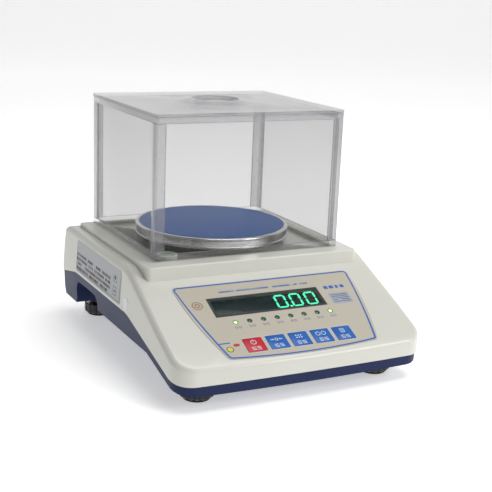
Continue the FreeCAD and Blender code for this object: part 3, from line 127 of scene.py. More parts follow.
class Signal:
    """An output of a node; arithmetic on it adds the Math nodes that work it out."""

    def __init__(self, net, socket):
        self.net = net
        self.socket = socket

    def out(self, name):
        return Signal(self.net, self.socket.node.outputs[name])

    def maths(self, operation, *others):
        return self.net.maths(operation, self, *others)

    def __add__(self, other):
        return self.maths("ADD", other)

    def __mul__(self, other):
        return self.maths("MULTIPLY", other)

    def __sub__(self, other):
        return self.maths("SUBTRACT", other)

    def __rsub__(self, other):
        return self.net.maths("SUBTRACT", other, self)

    def __truediv__(self, other):
        return self.maths("DIVIDE", other)

    def __rtruediv__(self, other):
        return self.net.maths("DIVIDE", other, self)

    def __pow__(self, other):
        return self.maths("POWER", other)

    __radd__ = __add__
    __rmul__ = __mul__


class Net:
    """A node tree being built, for a surface or for geometry."""

    def __init__(self, tree):
        self.tree = tree

    def node(self, kind, settings=None, inputs=None, out=0):
        made = self.tree.nodes.new(kind)
        for name, value in (settings or {}).items():
            if name == "stops":
                ramp = made.color_ramp
                for index, (place, shade) in enumerate(value):
                    stop = ramp.elements[index] if index < 2 else ramp.elements.new(place)
                    stop.position = place
                    stop.color = (shade, shade, shade, 1)
            else:
                setattr(made, name, value)
        for name, value in (inputs or {}).items():
            socket = made.inputs[name]
            if isinstance(value, Signal):
                self.tree.links.new(value.socket, socket)
            else:
                socket.default_value = value
        return Signal(self, made.outputs[out]) if made.outputs else made

    def maths(self, operation, *terms):
        return self.node("ShaderNodeMath", {"operation": operation}, dict(enumerate(terms)))

    def blend(self, share, first, second):
        """A colour between two, by share. The colour sockets go by number: they share their names."""
        return self.node("ShaderNodeMix", {"data_type": "RGBA"}, {0: share, 6: first, 7: second}, out=2)

    def noise(self, vector, scale, detail):
        inputs = {"Vector": vector, "Scale": scale, "Detail": detail}
        return self.node("ShaderNodeTexNoise", {}, inputs).out("Fac")

    def vector(self, x=0.0, y=0.0, z=0.0):
        return self.node("ShaderNodeCombineXYZ", {}, {"X": x, "Y": y, "Z": z})


# ---- finishes ----

finishes = {}
# Short words for the shader's own sockets.
SOCKETS = {"coat": "Coat Weight", "coat_roughness": "Coat Roughness", "ior": "IOR",
           "metallic": "Metallic", "specular": "Specular IOR Level"}
CLOUD_SCALE = 38.0
BUMP_DISTANCE = 0.2 * MM


def finish(name, colour, roughness, tint=0.06, grain=(1500, 0.05), uneven=0.06, shape=None, glow=None,
           **fixed):
    """A surface with a slightly cloudy colour, uneven gloss and a fine grain.

    tint is how far the colour drifts, grain is (scale, strength) of the bump, glow is
    (colour, strength), and fixed holds values from SOCKETS that are the same all over.
    shape(net, position, parts) may change the parts before they are wired up.
    """
    material = bpy.data.materials.new(name)
    material.use_nodes = True
    material.node_tree.nodes.clear()
    net = Net(material.node_tree)
    position = net.node("ShaderNodeTexCoord").out("Object")
    cloud = net.noise(position, CLOUD_SCALE, 4.0)
    fine = net.noise(position, grain[0], 2.0)
    even = paint(*colour)[:3]
    darker = tuple(value * (1 - tint) for value in even) + (1.0,)
    lighter = tuple(min(value * (1 + tint), 1.0) for value in even) + (1.0,)
    parts = {"Base Color": net.blend(cloud, darker, lighter),
             "Roughness": cloud * uneven + (roughness - uneven / 2),
             "height": fine, "grain": grain[1]}
    if shape:
        shape(net, position, parts)
    parts["Normal"] = net.node("ShaderNodeBump", {}, {
        "Strength": parts.pop("grain"), "Distance": BUMP_DISTANCE, "Height": parts.pop("height")})
    same_all_over = {SOCKETS[word]: value for word, value in fixed.items()}
    if glow:
        same_all_over.update({"Emission Color": paint(*glow[0]), "Emission Strength": glow[1]})
    surface = net.node("ShaderNodeBsdfPrincipled", {}, {**same_all_over, **parts})
    net.node("ShaderNodeOutputMaterial", {}, {"Surface": surface})
    finishes[name] = material


def see_through(clear, edge, power=3.0):
    """Lets light through face on and shows more of the surface at a glancing angle."""
    def shape(net, position, parts):
        facing = net.node("ShaderNodeLayerWeight", {}, {"Blend": 0.5}).out("Facing")
        parts["Alpha"] = (facing ** power) * (edge - clear) + clear
    return shape


def scratch(parts, marks, depth, dulling):
    """Lets fine marks roughen a surface and catch the light."""
    parts["height"] = marks
    parts["grain"] = depth
    parts["Roughness"] = marks * dulling + parts["Roughness"] - dulling / 2


def turned_marks(centre, scale=5200.0):
    """Fine circular marks left by turning or polishing round an upright axis."""
    def shape(net, position, parts):
        from_middle = net.node("ShaderNodeVectorMath", {"operation": "SUBTRACT"},
                               {0: position, 1: centre})
        apart = net.node("ShaderNodeSeparateXYZ", {}, {"Vector": from_middle})
        across, along = apart.out("X"), apart.out("Y")
        radius = (across * across + along * along) ** 0.5
        rings = net.vector(radius * scale, 0.0, apart.out("Z") * scale)
        scratch(parts, net.noise(rings, 1.0, 3.0), depth=0.16, dulling=0.12)
    return shape


def drawn_marks(net, position, parts):
    """Straight fine marks left by milling or drawing, long from front to back."""
    stretched = net.node("ShaderNodeMapping", {}, {"Vector": position, "Scale": (3000, 60, 3000)})
    scratch(parts, net.noise(stretched, 1.0, 3.0), depth=0.14, dulling=0.14)


def copper_tracks(net, position, parts):
    """Paler tracks and pads under a green lacquer."""
    cells = net.node("ShaderNodeTexVoronoi", {"feature": "DISTANCE_TO_EDGE", "distance": "MANHATTAN"},
                     {"Vector": position, "Scale": 190.0}).out("Distance")
    track = net.node("ShaderNodeValToRGB", {"stops": ((0.05, 1.0), (0.09, 0.0))}, {"Fac": cells})
    parts["Base Color"] = net.blend(track, parts["Base Color"], paint(60, 140, 80))
    parts["height"] = track
    parts["grain"] = 0.25


def handling_patches(net, position, parts):
    """Handling leaves the casing a touch greyer in broad, soft patches."""
    broad = net.noise(position, 9.0, 6.0)
    patch = net.node("ShaderNodeValToRGB", {"stops": ((0.45, 0.0), (0.75, 0.22))}, {"Fac": broad})
    parts["Base Color"] = net.blend(patch, parts["Base Color"], paint(196, 195, 184))


def make_finishes():
    # the casing, its labels and its prints
    finish("ivory_casing", (214, 214, 205), 0.34, coat=0.25, coat_roughness=0.15, tint=0.015,
           grain=(2200, 0.045), shape=handling_patches)
    finish("blue_casing", (12, 32, 76), 0.42, specular=0.25, tint=0.08, grain=(2000, 0.06))
    finish("printed_overlay", (190, 183, 168), 0.42, specular=0.45, tint=0.02, grain=(4200, 0.08))
    for name, colour, roughness, tint in (
            ("border_ink", (20, 96, 178), 0.4, 0.04), ("line_ink", (40, 50, 84), 0.4, 0.05),
            ("caption_ink", (112, 124, 150), 0.4, 0.05), ("yellow_ink", (214, 206, 62), 0.4, 0.04),
            ("pale_ink", (214, 222, 236), 0.45, 0.03), ("red_ink", (188, 32, 44), 0.4, 0.04),
            ("emblem_ink", (148, 112, 74), 0.45, 0.1)):
        finish(name, colour, roughness, tint=tint, grain=(4200, 0.06))
    finish("label_ink", (38, 38, 44), 0.5, tint=0.08)
    finish("silver_label", (158, 160, 164), 0.34, metallic=0.35, tint=0.03, grain=(3800, 0.08))
    finish("silver_seal", (198, 200, 204), 0.26, metallic=0.6, tint=0.05,
           shape=turned_marks(middle("calibration_seal"), 3000.0))
    finish("tag_print", (158, 166, 184), 0.4, metallic=0.1, tint=0.03, grain=(3800, 0.08))

    # the keys, the window and the lamps
    for name, colour in (("key_blue", (18, 96, 178)), ("key_red", (192, 22, 40))):
        finish(name, colour, 0.36, specular=0.35, tint=0.04, grain=(3600, 0.08))
    finish("smoked_window", (12, 40, 40), 0.1, specular=0.35, tint=0.05, grain=(300, 0.01), uneven=0.03,
           shape=see_through(0.3, 0.6))
    finish("display_face", (12, 34, 34), 0.4, tint=0.1, grain=(2500, 0.05))
    finish("lit_segment", (60, 235, 165), 0.4, glow=((90, 255, 190), 2.2), tint=0.1)
    finish("lamp_off", (22, 84, 66), 0.2, coat=0.7, tint=0.08, grain=(900, 0.02))
    finish("lamp_lit", (190, 245, 150), 0.2, glow=((190, 255, 150), 1.4), tint=0.05, grain=(900, 0.02))

    # boards, metals and black parts
    finish("circuit_board", (20, 92, 46), 0.3, coat=0.4, tint=0.08, shape=copper_tracks)
    finish("component_black", (30, 30, 32), 0.5, tint=0.15, grain=(3000, 0.15))
    finish("port_insulator", (24, 24, 26), 0.45, tint=0.1, grain=(2500, 0.1))
    finish("gold_pin", (226, 190, 110), 0.22, metallic=1.0, tint=0.03)
    finish("brass", (205, 168, 92), 0.3, metallic=1.0, tint=0.05, grain=(2400, 0.12))
    finish("zinc_steel", (196, 198, 194), 0.3, metallic=1.0, grain=(1800, 0.1))
    finish("machined_aluminium", (205, 206, 208), 0.3, metallic=1.0, tint=0.03, shape=drawn_marks)
    finish("base_steel", (92, 95, 100), 0.5, metallic=0.3, tint=0.08, grain=(1200, 0.15))
    finish("black_plastic", (20, 20, 22), 0.24, coat=0.4, coat_roughness=0.1, tint=0.15, grain=(2600, 0.12))
    finish("foot_rubber", (26, 26, 26), 0.72, tint=0.15, grain=(1700, 0.35))

    # the pan and the spirit level
    finish("pan_steel", (214, 214, 216), 0.2, metallic=1.0, tint=0.03,
           shape=turned_marks(middle("weighing_pan")))
    finish("pan_film", (16, 84, 162), 0.45, specular=0.3, tint=0.05, grain=(55, 0.14), uneven=0.08)
    finish("level_glass", (225, 235, 225), 0.04, ior=1.5, coat=0.5, tint=0.01, grain=(300, 0.01),
           uneven=0.02, shape=see_through(0.12, 0.7))
    finish("level_liquid", (120, 214, 70), 0.1, coat=0.6, grain=(120, 0.02))
    finish("level_bubble", (214, 244, 188), 0.06, coat=0.8, tint=0.04, grain=(120, 0.02))
    finish("level_body", (222, 224, 220), 0.3, tint=0.03)

    # the clear draft shield
    finish("clear_panel", (118, 118, 117), 0.12, specular=0.2, tint=0.01, grain=(30, 0.01), uneven=0.02,
           shape=see_through(0.125, 0.34, 2.0))
    moulded = {"ior": 1.49, "coat": 0.7, "coat_roughness": 0.05, "grain": (60, 0.03), "uneven": 0.04}
    finish("clear_frame", (148, 149, 153), 0.1, tint=0.04, shape=see_through(0.34, 0.8, 1.6), **moulded)
    finish("clear_rail", (186, 188, 186), 0.12, tint=0.03, shape=see_through(0.16, 0.55, 1.6), **moulded)
    finish("clear_lid", (146, 143, 147), 0.16, ior=1.49, coat=0.3, coat_roughness=0.1, tint=0.05,
           grain=(60, 0.05), uneven=0.05, shape=see_through(0.12, 0.82, 1.0))

    finish("studio_paper", (250, 250, 250), 0.8, glow=((255, 255, 255), 0.45), tint=0.002,
           grain=(300, 0.01))


# ---- mesh helpers ----

def add_object(name, data):
    thing = bpy.data.objects.new(name, data)
    bpy.context.scene.collection.objects.link(thing)
    return thing


def plain(thing):
    """Turns an object with modifiers, or a curve, into a plain mesh object of the same name."""
    bpy.context.view_layer.update()
    evaluated = thing.evaluated_get(bpy.context.evaluated_depsgraph_get())
    mesh = bpy.data.meshes.new_from_object(evaluated)
    name = thing.name
    bpy.data.objects.remove(thing)
    return add_object(name, mesh)


def shade(mesh, sharp):
    """Smooth shading, apart from the edges that turn by more than sharp degrees."""
    mesh.shade_smooth()
    mesh.set_sharp_from_angle(angle=math.radians(sharp))


def dress(thing, material, body, replaced=(), sharp=35.0, place=None):
    """Gives a mesh object its place, finish, shading and the body that it rides on."""
    mesh = thing.data
    if place is not None:
        mesh.transform(place)
    if material is not None:
        mesh.materials.clear()
        mesh.materials.append(finishes[material])
    shade(mesh, sharp)
    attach(thing, body)
    if replaced:
        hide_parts(*replaced)


def mesh_object(name, points, faces):
    mesh = bpy.data.meshes.new(name)
    mesh.from_pydata([tuple(point) for point in points], [], faces)
    shell = bmesh.new()
    shell.from_mesh(mesh)
    bmesh.ops.recalc_face_normals(shell, faces=shell.faces)
    shell.to_mesh(mesh)
    shell.free()
    return add_object(name, mesh)


def merged_shell(mesh, distance=JOIN):
    """An editable copy of a mesh, with points closer than distance made one."""
    shell = bmesh.new()
    shell.from_mesh(mesh)
    bmesh.ops.remove_doubles(shell, verts=shell.verts, dist=distance)
    return shell


def lathe(name, profile, centre, segments=128):
    """Turns a closed (radius, height) profile round an upright axis through centre."""
    points, rings = [], []
    for radius, height in profile:
        if radius == 0.0:
            rings.append([len(points)] * segments)
            points.append((centre[0], centre[1], centre[2] + height))
            continue
        rings.append(list(range(len(points), len(points) + segments)))
        for step in range(segments):
            turn = 2 * math.pi * step / segments
            points.append((centre[0] + radius * math.cos(turn), centre[1] + radius * math.sin(turn),
                           centre[2] + height))
    faces = []
    for ring, following in zip(rings, rings[1:] + rings[:1]):
        if ring[0] == ring[-1] and following[0] == following[-1]:
            continue
        for step in range(segments):
            after = (step + 1) % segments
            corners = [ring[step], ring[after], following[after], following[step]]
            faces.append(tuple(dict.fromkeys(corners)))
    return mesh_object(name, points, faces)


def arc(centre_r, centre_z, radius, start, end, steps=8):
    """Points of an arc in a turning profile, angles in degrees from straight outwards."""
    angles = [math.radians(start + (end - start) * step / steps) for step in range(steps + 1)]
    return [(centre_r + radius * math.cos(a), centre_z + radius * math.sin(a)) for a in angles]


def rounded(width, height, radius, u=0.0, v=0.0, steps=6):
    """The outline of a rectangle with rounded corners."""
    points = []
    for index, (x_side, y_side) in enumerate(((1, 1), (-1, 1), (-1, -1), (1, -1))):
        points += arc(u + x_side * (width / 2 - radius), v + y_side * (height / 2 - radius), radius,
                      index * 90, index * 90 + 90, steps)
    return points


def framed(width, height, line, corners, u=0.0, v=0.0):
    """A rectangular line as two outlines; corners are their outer and inner radii."""
    return [rounded(width - 2 * inset, height - 2 * inset, radius, u, v)
            for inset, radius in zip((0, line), corners)]


def ring_outline(radius, u=0.0, v=0.0, steps=40):
    return arc(u, v, radius, 0, 360 - 360 / steps, steps - 1)


def hoop(outer, inner, u=0.0, v=0.0, steps=40):
    """A round line as two outlines."""
    return [ring_outline(radius, u, v, steps) for radius in (outer, inner)]


def sheet(name, outlines, thickness, place, edge=0.0):
    """A flat piece from closed outlines, inner ones being holes, with softened edges."""
    curve = bpy.data.curves.new(name, "CURVE")
    curve.dimensions = "2D"
    curve.fill_mode = "BOTH"
    curve.extrude = thickness / 2 - edge
    curve.bevel_depth = edge
    curve.bevel_resolution = 2
    curve.offset = -edge
    for outline in outlines:
        line = curve.splines.new("POLY")
        line.points.add(len(outline) - 1)
        for point, (u, v) in zip(line.points, outline):
            point.co = (u, v, thickness / 2, 1)
        line.use_cyclic_u = True
    thing = plain(add_object(name, curve))
    shell = merged_shell(thing.data, SHEET_JOIN)
    shell.to_mesh(thing.data)
    shell.free()
    thing.data.transform(place)
    return thing


def printed(name, outlines, ink, place, body="casing"):
    """A thin print of closed outlines, laid where place says."""
    dress(sheet(name, outlines, PRINT, place), ink, body)


def smooth_copy(node, bevel):
    """A merged copy of a node's mesh, with flat areas made whole and edges softened."""
    thing = add_object(f"{node}_finished", nodes[node].data.copy())
    shell = merged_shell(thing.data)
    if bevel:
        bmesh.ops.dissolve_limit(shell, angle_limit=math.radians(FLAT_WITHIN), verts=shell.verts,
                                 edges=shell.edges)
    shell.to_mesh(thing.data)
    shell.free()
    loaded_normals = thing.data.attributes.get("custom_normal")
    if loaded_normals:
        thing.data.attributes.remove(loaded_normals)
    if bevel:
        soften = thing.modifiers.new("soften", "BEVEL")
        soften.width = bevel
        soften.segments = 2
        soften.limit_method = "ANGLE"
        soften.angle_limit = math.radians(35)
        thing = plain(thing)
    return thing


def finished_node(node, material, bevel=0.0, sharp=35.0):
    """A node shown as a softened copy of itself, in its finish."""
    dress(smooth_copy(node, bevel), material, nodes[node]["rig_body"], (node,), sharp)


# ---- geometry trees ----

def geometry_tree(name, sizes):
    """A geometry tree with a named input for each size."""
    tree = bpy.data.node_groups.new(name, "GeometryNodeTree")
    for way in ("INPUT", "OUTPUT"):
        tree.interface.new_socket("Geometry", in_out=way, socket_type="NodeSocketGeometry")
    for size, kind in sizes.items():
        tree.interface.new_socket(size, in_out="INPUT", socket_type=f"NodeSocket{kind}")
    net = Net(tree)
    return net, net.node("NodeGroupInput")


def close_tree(net, geometry, material_input):
    whole = net.node("GeometryNodeRealizeInstances", {}, {"Geometry": geometry})
    coloured = net.node("GeometryNodeSetMaterial", {}, {"Geometry": whole, "Material": material_input})
    net.node("NodeGroupOutput", {}, {"Geometry": coloured})
    return net.tree


def grown(name, tree, base, values):
    """Runs a geometry tree on a base mesh and returns the plain result."""
    thing = add_object(name, base)
    modifier = thing.modifiers.new("grow", "NODES")
    modifier.node_group = tree
    for item in tree.interface.items_tree:
        if item.in_out == "INPUT" and item.name in values:
            modifier[item.identifier] = values[item.name]
    return plain(thing)


def points_mesh(name, points):
    mesh = bpy.data.meshes.new(name)
    mesh.from_pydata([tuple(point) for point in points], [], [])
    return mesh


def lobed_wheel_tree():
    """A levelling wheel: a disc whose rim waves in and out, with chamfered faces."""
    net, given = geometry_tree("lobed_wheel", {"Radius": "Float", "Height": "Float", "Lobes": "Int",
                                               "Lobe Depth": "Float", "Chamfer": "Float",
                                               "Material": "Material"})
    radius, lobes, chamfer = given.out("Radius"), given.out("Lobes"), given.out("Chamfer")
    points_per_lobe = 12
    around = net.node("GeometryNodeMeshCircle", {"fill_type": "NGON"},
                      {"Vertices": lobes * points_per_lobe, "Radius": radius})
    place = net.node("GeometryNodeInputPosition")
    apart = net.node("ShaderNodeSeparateXYZ", {}, {"Vector": place})
    wave = (net.maths("ARCTAN2", apart.out("Y"), apart.out("X")) * lobes).maths("COSINE")
    dip = (1 - wave) ** 2 * given.out("Lobe Depth") / 4
    pulled_in = net.node("ShaderNodeVectorMath", {"operation": "SCALE"},
                         {0: place, "Scale": 1 - dip / radius})
    waved = net.node("GeometryNodeSetPosition", {}, {"Geometry": around, "Position": pulled_in})
    drawn_in = 1 - chamfer / radius
    small = net.node("GeometryNodeTransform", {}, {"Geometry": waved,
                                                   "Scale": net.vector(drawn_in, drawn_in, 1.0)})
    geometry, chosen = small, True
    steps = ((chamfer, 1 / drawn_in), (given.out("Height") - chamfer * 2, None), (chamfer, drawn_in))
    for rise, swell in steps:
        grow = net.node("GeometryNodeExtrudeMesh", {"mode": "FACES"}, {
            "Mesh": geometry, "Selection": chosen, "Offset": (0.0, 0.0, 1.0), "Offset Scale": rise,
            "Individual": False})
        geometry, chosen = grow, grow.out("Top")
        if swell is not None:
            geometry = net.node("GeometryNodeScaleElements", {"domain": "FACE"}, {
                "Geometry": geometry, "Selection": chosen, "Scale": swell})
    base = net.node("GeometryNodeFlipFaces", {}, {"Mesh": small})
    closed = net.node("GeometryNodeJoinGeometry")
    for piece in (geometry, base):
        net.tree.links.new(piece.socket, closed.socket.node.inputs[0])
    merged = net.node("GeometryNodeMergeByDistance", {}, {"Geometry": closed, "Distance": JOIN})
    return close_tree(net, merged, given.out("Material"))


def scatter_tree():
    """A template piece set down once on every point of the base mesh."""
    net, given = geometry_tree("set_down", {"Template": "Object", "Turn": "Float", "Material": "Material"})
    template = net.node("GeometryNodeObjectInfo", {}, {"Object": given.out("Template")}).out("Geometry")
    placed = net.node("GeometryNodeInstanceOnPoints", {}, {
        "Points": given.out("Geometry"), "Instance": template, "Rotation": net.vector(given.out("Turn"))})
    return close_tree(net, placed, given.out("Material"))


def printed_rows_tree():
    """Rows of short printed bars of random length, as a label's small print looks from afar."""
    net, given = geometry_tree("printed_rows", {
        "Width": "Float", "Rows": "Int", "Columns": "Int", "Row Pitch": "Float", "Bar Height": "Float",
        "Thickness": "Float", "Fullness": "Float", "Seed": "Int", "Material": "Material"})
    width, rows, columns, seed = (given.out(name) for name in ("Width", "Rows", "Columns", "Seed"))
    grid = net.node("GeometryNodeMeshGrid", {}, {
        "Size X": width, "Size Y": given.out("Row Pitch") * (rows - 1), "Vertices X": columns,
        "Vertices Y": rows})
    chance = net.node("FunctionNodeRandomValue", {"data_type": "FLOAT"}, {"Seed": seed}, out=1)
    kept = net.node("FunctionNodeCompare", {"operation": "LESS_THAN"}, {0: chance, 1: given.out("Fullness")})
    shortest, longest, seed_step = 0.45, 0.92, 7
    length = net.node("FunctionNodeRandomValue", {"data_type": "FLOAT"},
                      {2: shortest, 3: longest, "Seed": seed + seed_step}, out=1)
    bar = net.node("GeometryNodeMeshCube", {}, {"Size": net.vector(
        width / (columns - 1), given.out("Bar Height"), given.out("Thickness"))})
    bars = net.node("GeometryNodeInstanceOnPoints", {}, {
        "Points": grid, "Selection": kept, "Instance": bar, "Scale": net.vector(length, 1.0, 1.0)})
    return close_tree(net, bars, given.out("Material"))


def small_print(name, ink, place, width, rows, columns, pitch, bar, fullness, seed):
    """Rows of printed bars, laid where place says."""
    bars = grown(name, printed_rows, points_mesh(f"{name}_base", [(0, 0, 0)]), {
        "Width": width, "Rows": rows, "Columns": columns, "Row Pitch": pitch, "Bar Height": bar,
        "Thickness": PRINT, "Fullness": fullness, "Seed": seed, "Material": finishes[ink]})
    dress(bars, None, "casing", place=place)


def set_down(name, places, template, finish_name, turn=0.0):
    """A template piece repeated at places, turned about X."""
    return grown(name, scatter, points_mesh(name, places),
                 {"Template": template, "Turn": turn, "Material": finishes[finish_name]})


# ---- the casing ----

def build_casing():
    finished_node("top_housing", "ivory_casing", sharp=28)
    finished_node("bottom_housing", "blue_casing", sharp=28)
    finished_node("rating_label", "silver_label")
    finished_node("calibration_seal", "silver_seal")
    print_label()
    build_case_screws()


def screw_template(radius, height):
    """A domed screw head with a cross recess, its face at the origin and looking down."""
    dome = [(0.0, 0.0), (radius * 0.5, -height * 0.06), (radius * 0.85, -height * 0.3),
            (radius, -height * 0.6), (radius, -height), (0.0, -height)]
    head = lathe("screw_head_template", dome, (0, 0, 0), segments=32)
    reach, thick = radius * 1.15, radius * 0.26
    blades = [sheet("blade", [rounded(across, along, radius * 0.05, steps=2)], height,
                    Matrix.Translation((0, 0, -height * 0.6)))
              for across, along in ((reach, thick), (thick, reach))]
    for blade in blades:
        carve = head.modifiers.new("recess", "BOOLEAN")
        carve.operation = "DIFFERENCE"
        carve.solver = "EXACT"
        carve.object = blade
    head = plain(head)
    for blade in blades:
        bpy.data.objects.remove(blade)
    head.data.transform(Matrix.Rotation(math.pi, 4, "Y"))
    shade(head.data, 30)
    return head


def islands(node):
    """The boxes (low, high) of the separate solids in a node."""
    shell = merged_shell(nodes[node].data)
    waiting, boxes = set(shell.verts), []
    while waiting:
        front, found = [waiting.pop()], []
        while front:
            vertex = front.pop()
            found.append(vertex.co.copy())
            for edge in vertex.link_edges:
                other = edge.other_vert(vertex)
                if other in waiting:
                    waiting.discard(other)
                    front.append(other)
        boxes.append((Vector(map(min, zip(*found))), Vector(map(max, zip(*found)))))
    shell.free()
    return sorted(boxes, key=lambda box: tuple(round(value, 5) for value in box[0]))


def build_case_screws():
    boxes = islands("case_screws")
    places = [((low.x + high.x) / 2, (low.y + high.y) / 2, low.z) for low, high in boxes]
    template = screw_template(2.9 * MM, 2.0 * MM)
    heads = set_down("case_screw_heads", places, template, "zinc_steel")
    dress(heads, None, "casing", ("case_screws",), 30)
    bpy.data.objects.remove(template)


def print_label():
    """Small print, a frame and two plain symbols on the silver label."""
    low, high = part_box("rating_label")
    length, height = high.y - low.y, high.z - low.z
    lean = math.atan2(high.x - low.x, height)
    across = Vector((0, -1, 0))
    up = Vector((math.sin(lean), 0, math.cos(lean)))
    out = across.cross(up)
    place = placed(across, up, out, (low + high) / 2 + out * 0.07 * MM)
    small_print("label_small_print", "label_ink", place @ Matrix.Translation((-length * 0.1, 0, 0)),
                width=length * 0.74, rows=6, columns=28, pitch=height * 0.145,
                bar=height * 0.09, fullness=0.86, seed=5)
    u, v = length * 0.38, height * 0.2
    symbols = [outline for side in (1, -1)
               for outline in framed(7 * MM, 7 * MM, 0.4 * MM, (0.6 * MM, 0.3 * MM), u, side * v)]
    symbols += [ring_outline(1.7 * MM, u, v), rounded(3.4 * MM, 1.1 * MM, 0.2 * MM, u, -v)]
    margin = 3 * MM
    edge_line = framed(length - margin, height - margin, 0.35 * MM, (1.6 * MM, 1.3 * MM))
    printed("label_symbols", symbols + edge_line, "label_ink", place)


# ---- the console ----

def panel_outline(inset):
    """The overlay's outline, its sides leaning in and its lower edge bowed, drawn in by inset."""
    top, bottom = PANEL["top"] - inset, PANEL["bottom"] + inset
    side_inset = inset * 1.03
    half_top, half_bottom = PANEL["top_half_width"] - side_inset, PANEL["bottom_half_width"] - side_inset
    steps = 14
    side, lower = [], []
    for step in range(steps + 1):
        share = step / steps
        bow = 2 * share * (1 - share) * PANEL["side_bow"]
        side.append((half_bottom + (half_top - half_bottom) * share + bow, bottom + (top - bottom) * share))
    for step in range(1, steps):
        share = step / steps
        lower.append((-half_bottom + 2 * half_bottom * share,
                      bottom - 4 * share * (1 - share) * PANEL["bottom_bow"]))
    corners = side + [(-u, v) for u, v in reversed(side)] + lower
    return soften_corners(corners, max(PANEL["corner"] - inset, 0.4 * MM))


def soften_corners(corners, radius):
    """Replaces each sharp corner of a closed outline by a short arc."""
    points, steps, sharp_turn = [], 6, math.radians(25)
    for index, corner in enumerate(corners):
        here = Vector(corner)
        before = Vector(corners[index - 1]) - here
        after = Vector(corners[(index + 1) % len(corners)]) - here
        turn = math.pi - before.angle(after)
        if turn < sharp_turn:
            points.append(tuple(here))
            continue
        reach = min(radius * math.tan(turn / 2), before.length * 0.9, after.length * 0.9)
        start, end = here + before.normalized() * reach, here + after.normalized() * reach
        for step in range(steps + 1):
            share = step / steps
            point = start * (1 - share) ** 2 + here * 2 * share * (1 - share) + end * share ** 2
            points.append(tuple(point))
    return points


def measure_panel():
    """The printed panel's outline, from the node's mesh laid flat."""
    flat = [laid_flat(vertex.co) for vertex in nodes["console_overlay"].data.vertices]
    top = max(v for u, v in flat)
    bottom = -90.0 * MM
    return {"top": top, "bottom": bottom, "top_half_width": max(u for u, v in flat if v > top - 6 * MM),
            "bottom_half_width": 62.4 * MM, "side_bow": 3.2 * MM,
            "bottom_bow": bottom - min(v for u, v in flat), "corner": 4.0 * MM}


def print_on_panel(name, outlines, ink, height=OVERLAY_TOP):
    printed(name, outlines, ink, console_place(height=height))


def build_console():
    finished_node("console_overlay", "printed_overlay")
    print_on_panel("panel_border", [panel_outline(0.5 * MM), panel_outline(1.8 * MM)], "border_ink")
    finished_node("display_window", "smoked_window", bevel=0.12 * MM)
    finished_node("display_module", "display_face", bevel=0.3 * MM)
    build_digits()
    build_lamps()
    build_keys()
    build_panel_prints()
    for node, material in (("console_board", "circuit_board"), ("key_switches", "component_black"),
                           ("board_screws", "zinc_steel")):
        finished_node(node, material, bevel=0.1 * MM)


def zero_outlines(height, width):
    """The six lit bars of one nought of a seven-bar display, centred on the origin."""
    stroke, gap = height * 0.115, height * 0.015
    slim = stroke / 2
    half, edge = height / 2 - slim, width / 2 - slim
    level = [(0, end * half) for end in (1, -1)]
    upright = [(side * edge, end * half / 2) for end in (1, -1) for side in (-1, 1)]
    outlines = []
    for middles, length, upended in ((level, edge, False), (upright, half / 2, True)):
        reach = length - gap
        bar = [(-reach, 0), (-reach + slim, -slim), (reach - slim, -slim), (reach, 0),
               (reach - slim, slim), (-reach + slim, slim)]
        if upended:
            bar = [(-b, a) for a, b in bar]
        outlines += [[(u + a, v + b) for a, b in bar] for u, v in middles]
    return outlines


def build_digits():
    """Three zeros with a decimal point, glowing behind the smoked window."""
    low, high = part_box("display_module")
    u, v = on_console("display_window")
    height, width, pitch = 15.0 * MM, 9.8 * MM, 13.2 * MM
    lean, margin, behind = 0.06, 6.6 * MM, 0.9 * MM
    dot, dot_shift = 1.1 * MM, 0.2 * MM
    right = u + (high.x - low.x) / 2 - margin
    outlines = [[(right - place * pitch + a + b * lean, b) for a, b in outline]
                for place in range(3) for outline in zero_outlines(height, width)]
    outlines.append(ring_outline(dot, right - 1.5 * pitch - dot_shift, -height / 2 + dot, 16))
    printed("display_digits", outlines, "lit_segment", console_place(0, v, -behind))


def build_lamps():
    """Eight small domed lamps in a row; the first and the last are lit."""
    boxes = islands("indicator_leds")
    radius = (boxes[0][1].x - boxes[0][0].x) / 2
    wall, crown, sunk = 0.7 * MM, 0.5 * MM, 1.1 * MM
    dome = [(0.0, 0.0), (radius, 0.0), (radius, wall)]
    dome += [(radius * math.cos(math.radians(a)), wall + crown * math.sin(math.radians(a)))
             for a in range(15, 90, 15)] + [(0.0, wall + crown)]
    template = lathe("lamp_template", dome, (0, 0, -sunk), segments=28)
    shade(template.data, 50)
    tilt = math.atan2(CONSOLE_UP.z, CONSOLE_UP.y)
    places = [console_place(*laid_flat((low + high) / 2), OVERLAY_TOP).translation for low, high in boxes]
    lit, dark = [places[0], places[-1]], places[1:-1]
    bright = set_down("lamps_lit", lit, template, "lamp_lit", tilt)
    dress(bright, None, "casing", sharp=50)
    dull = set_down("lamps_off", dark, template, "lamp_off", tilt)
    dress(dull, None, "casing", ("indicator_leds",), 50)
    bpy.data.objects.remove(template)


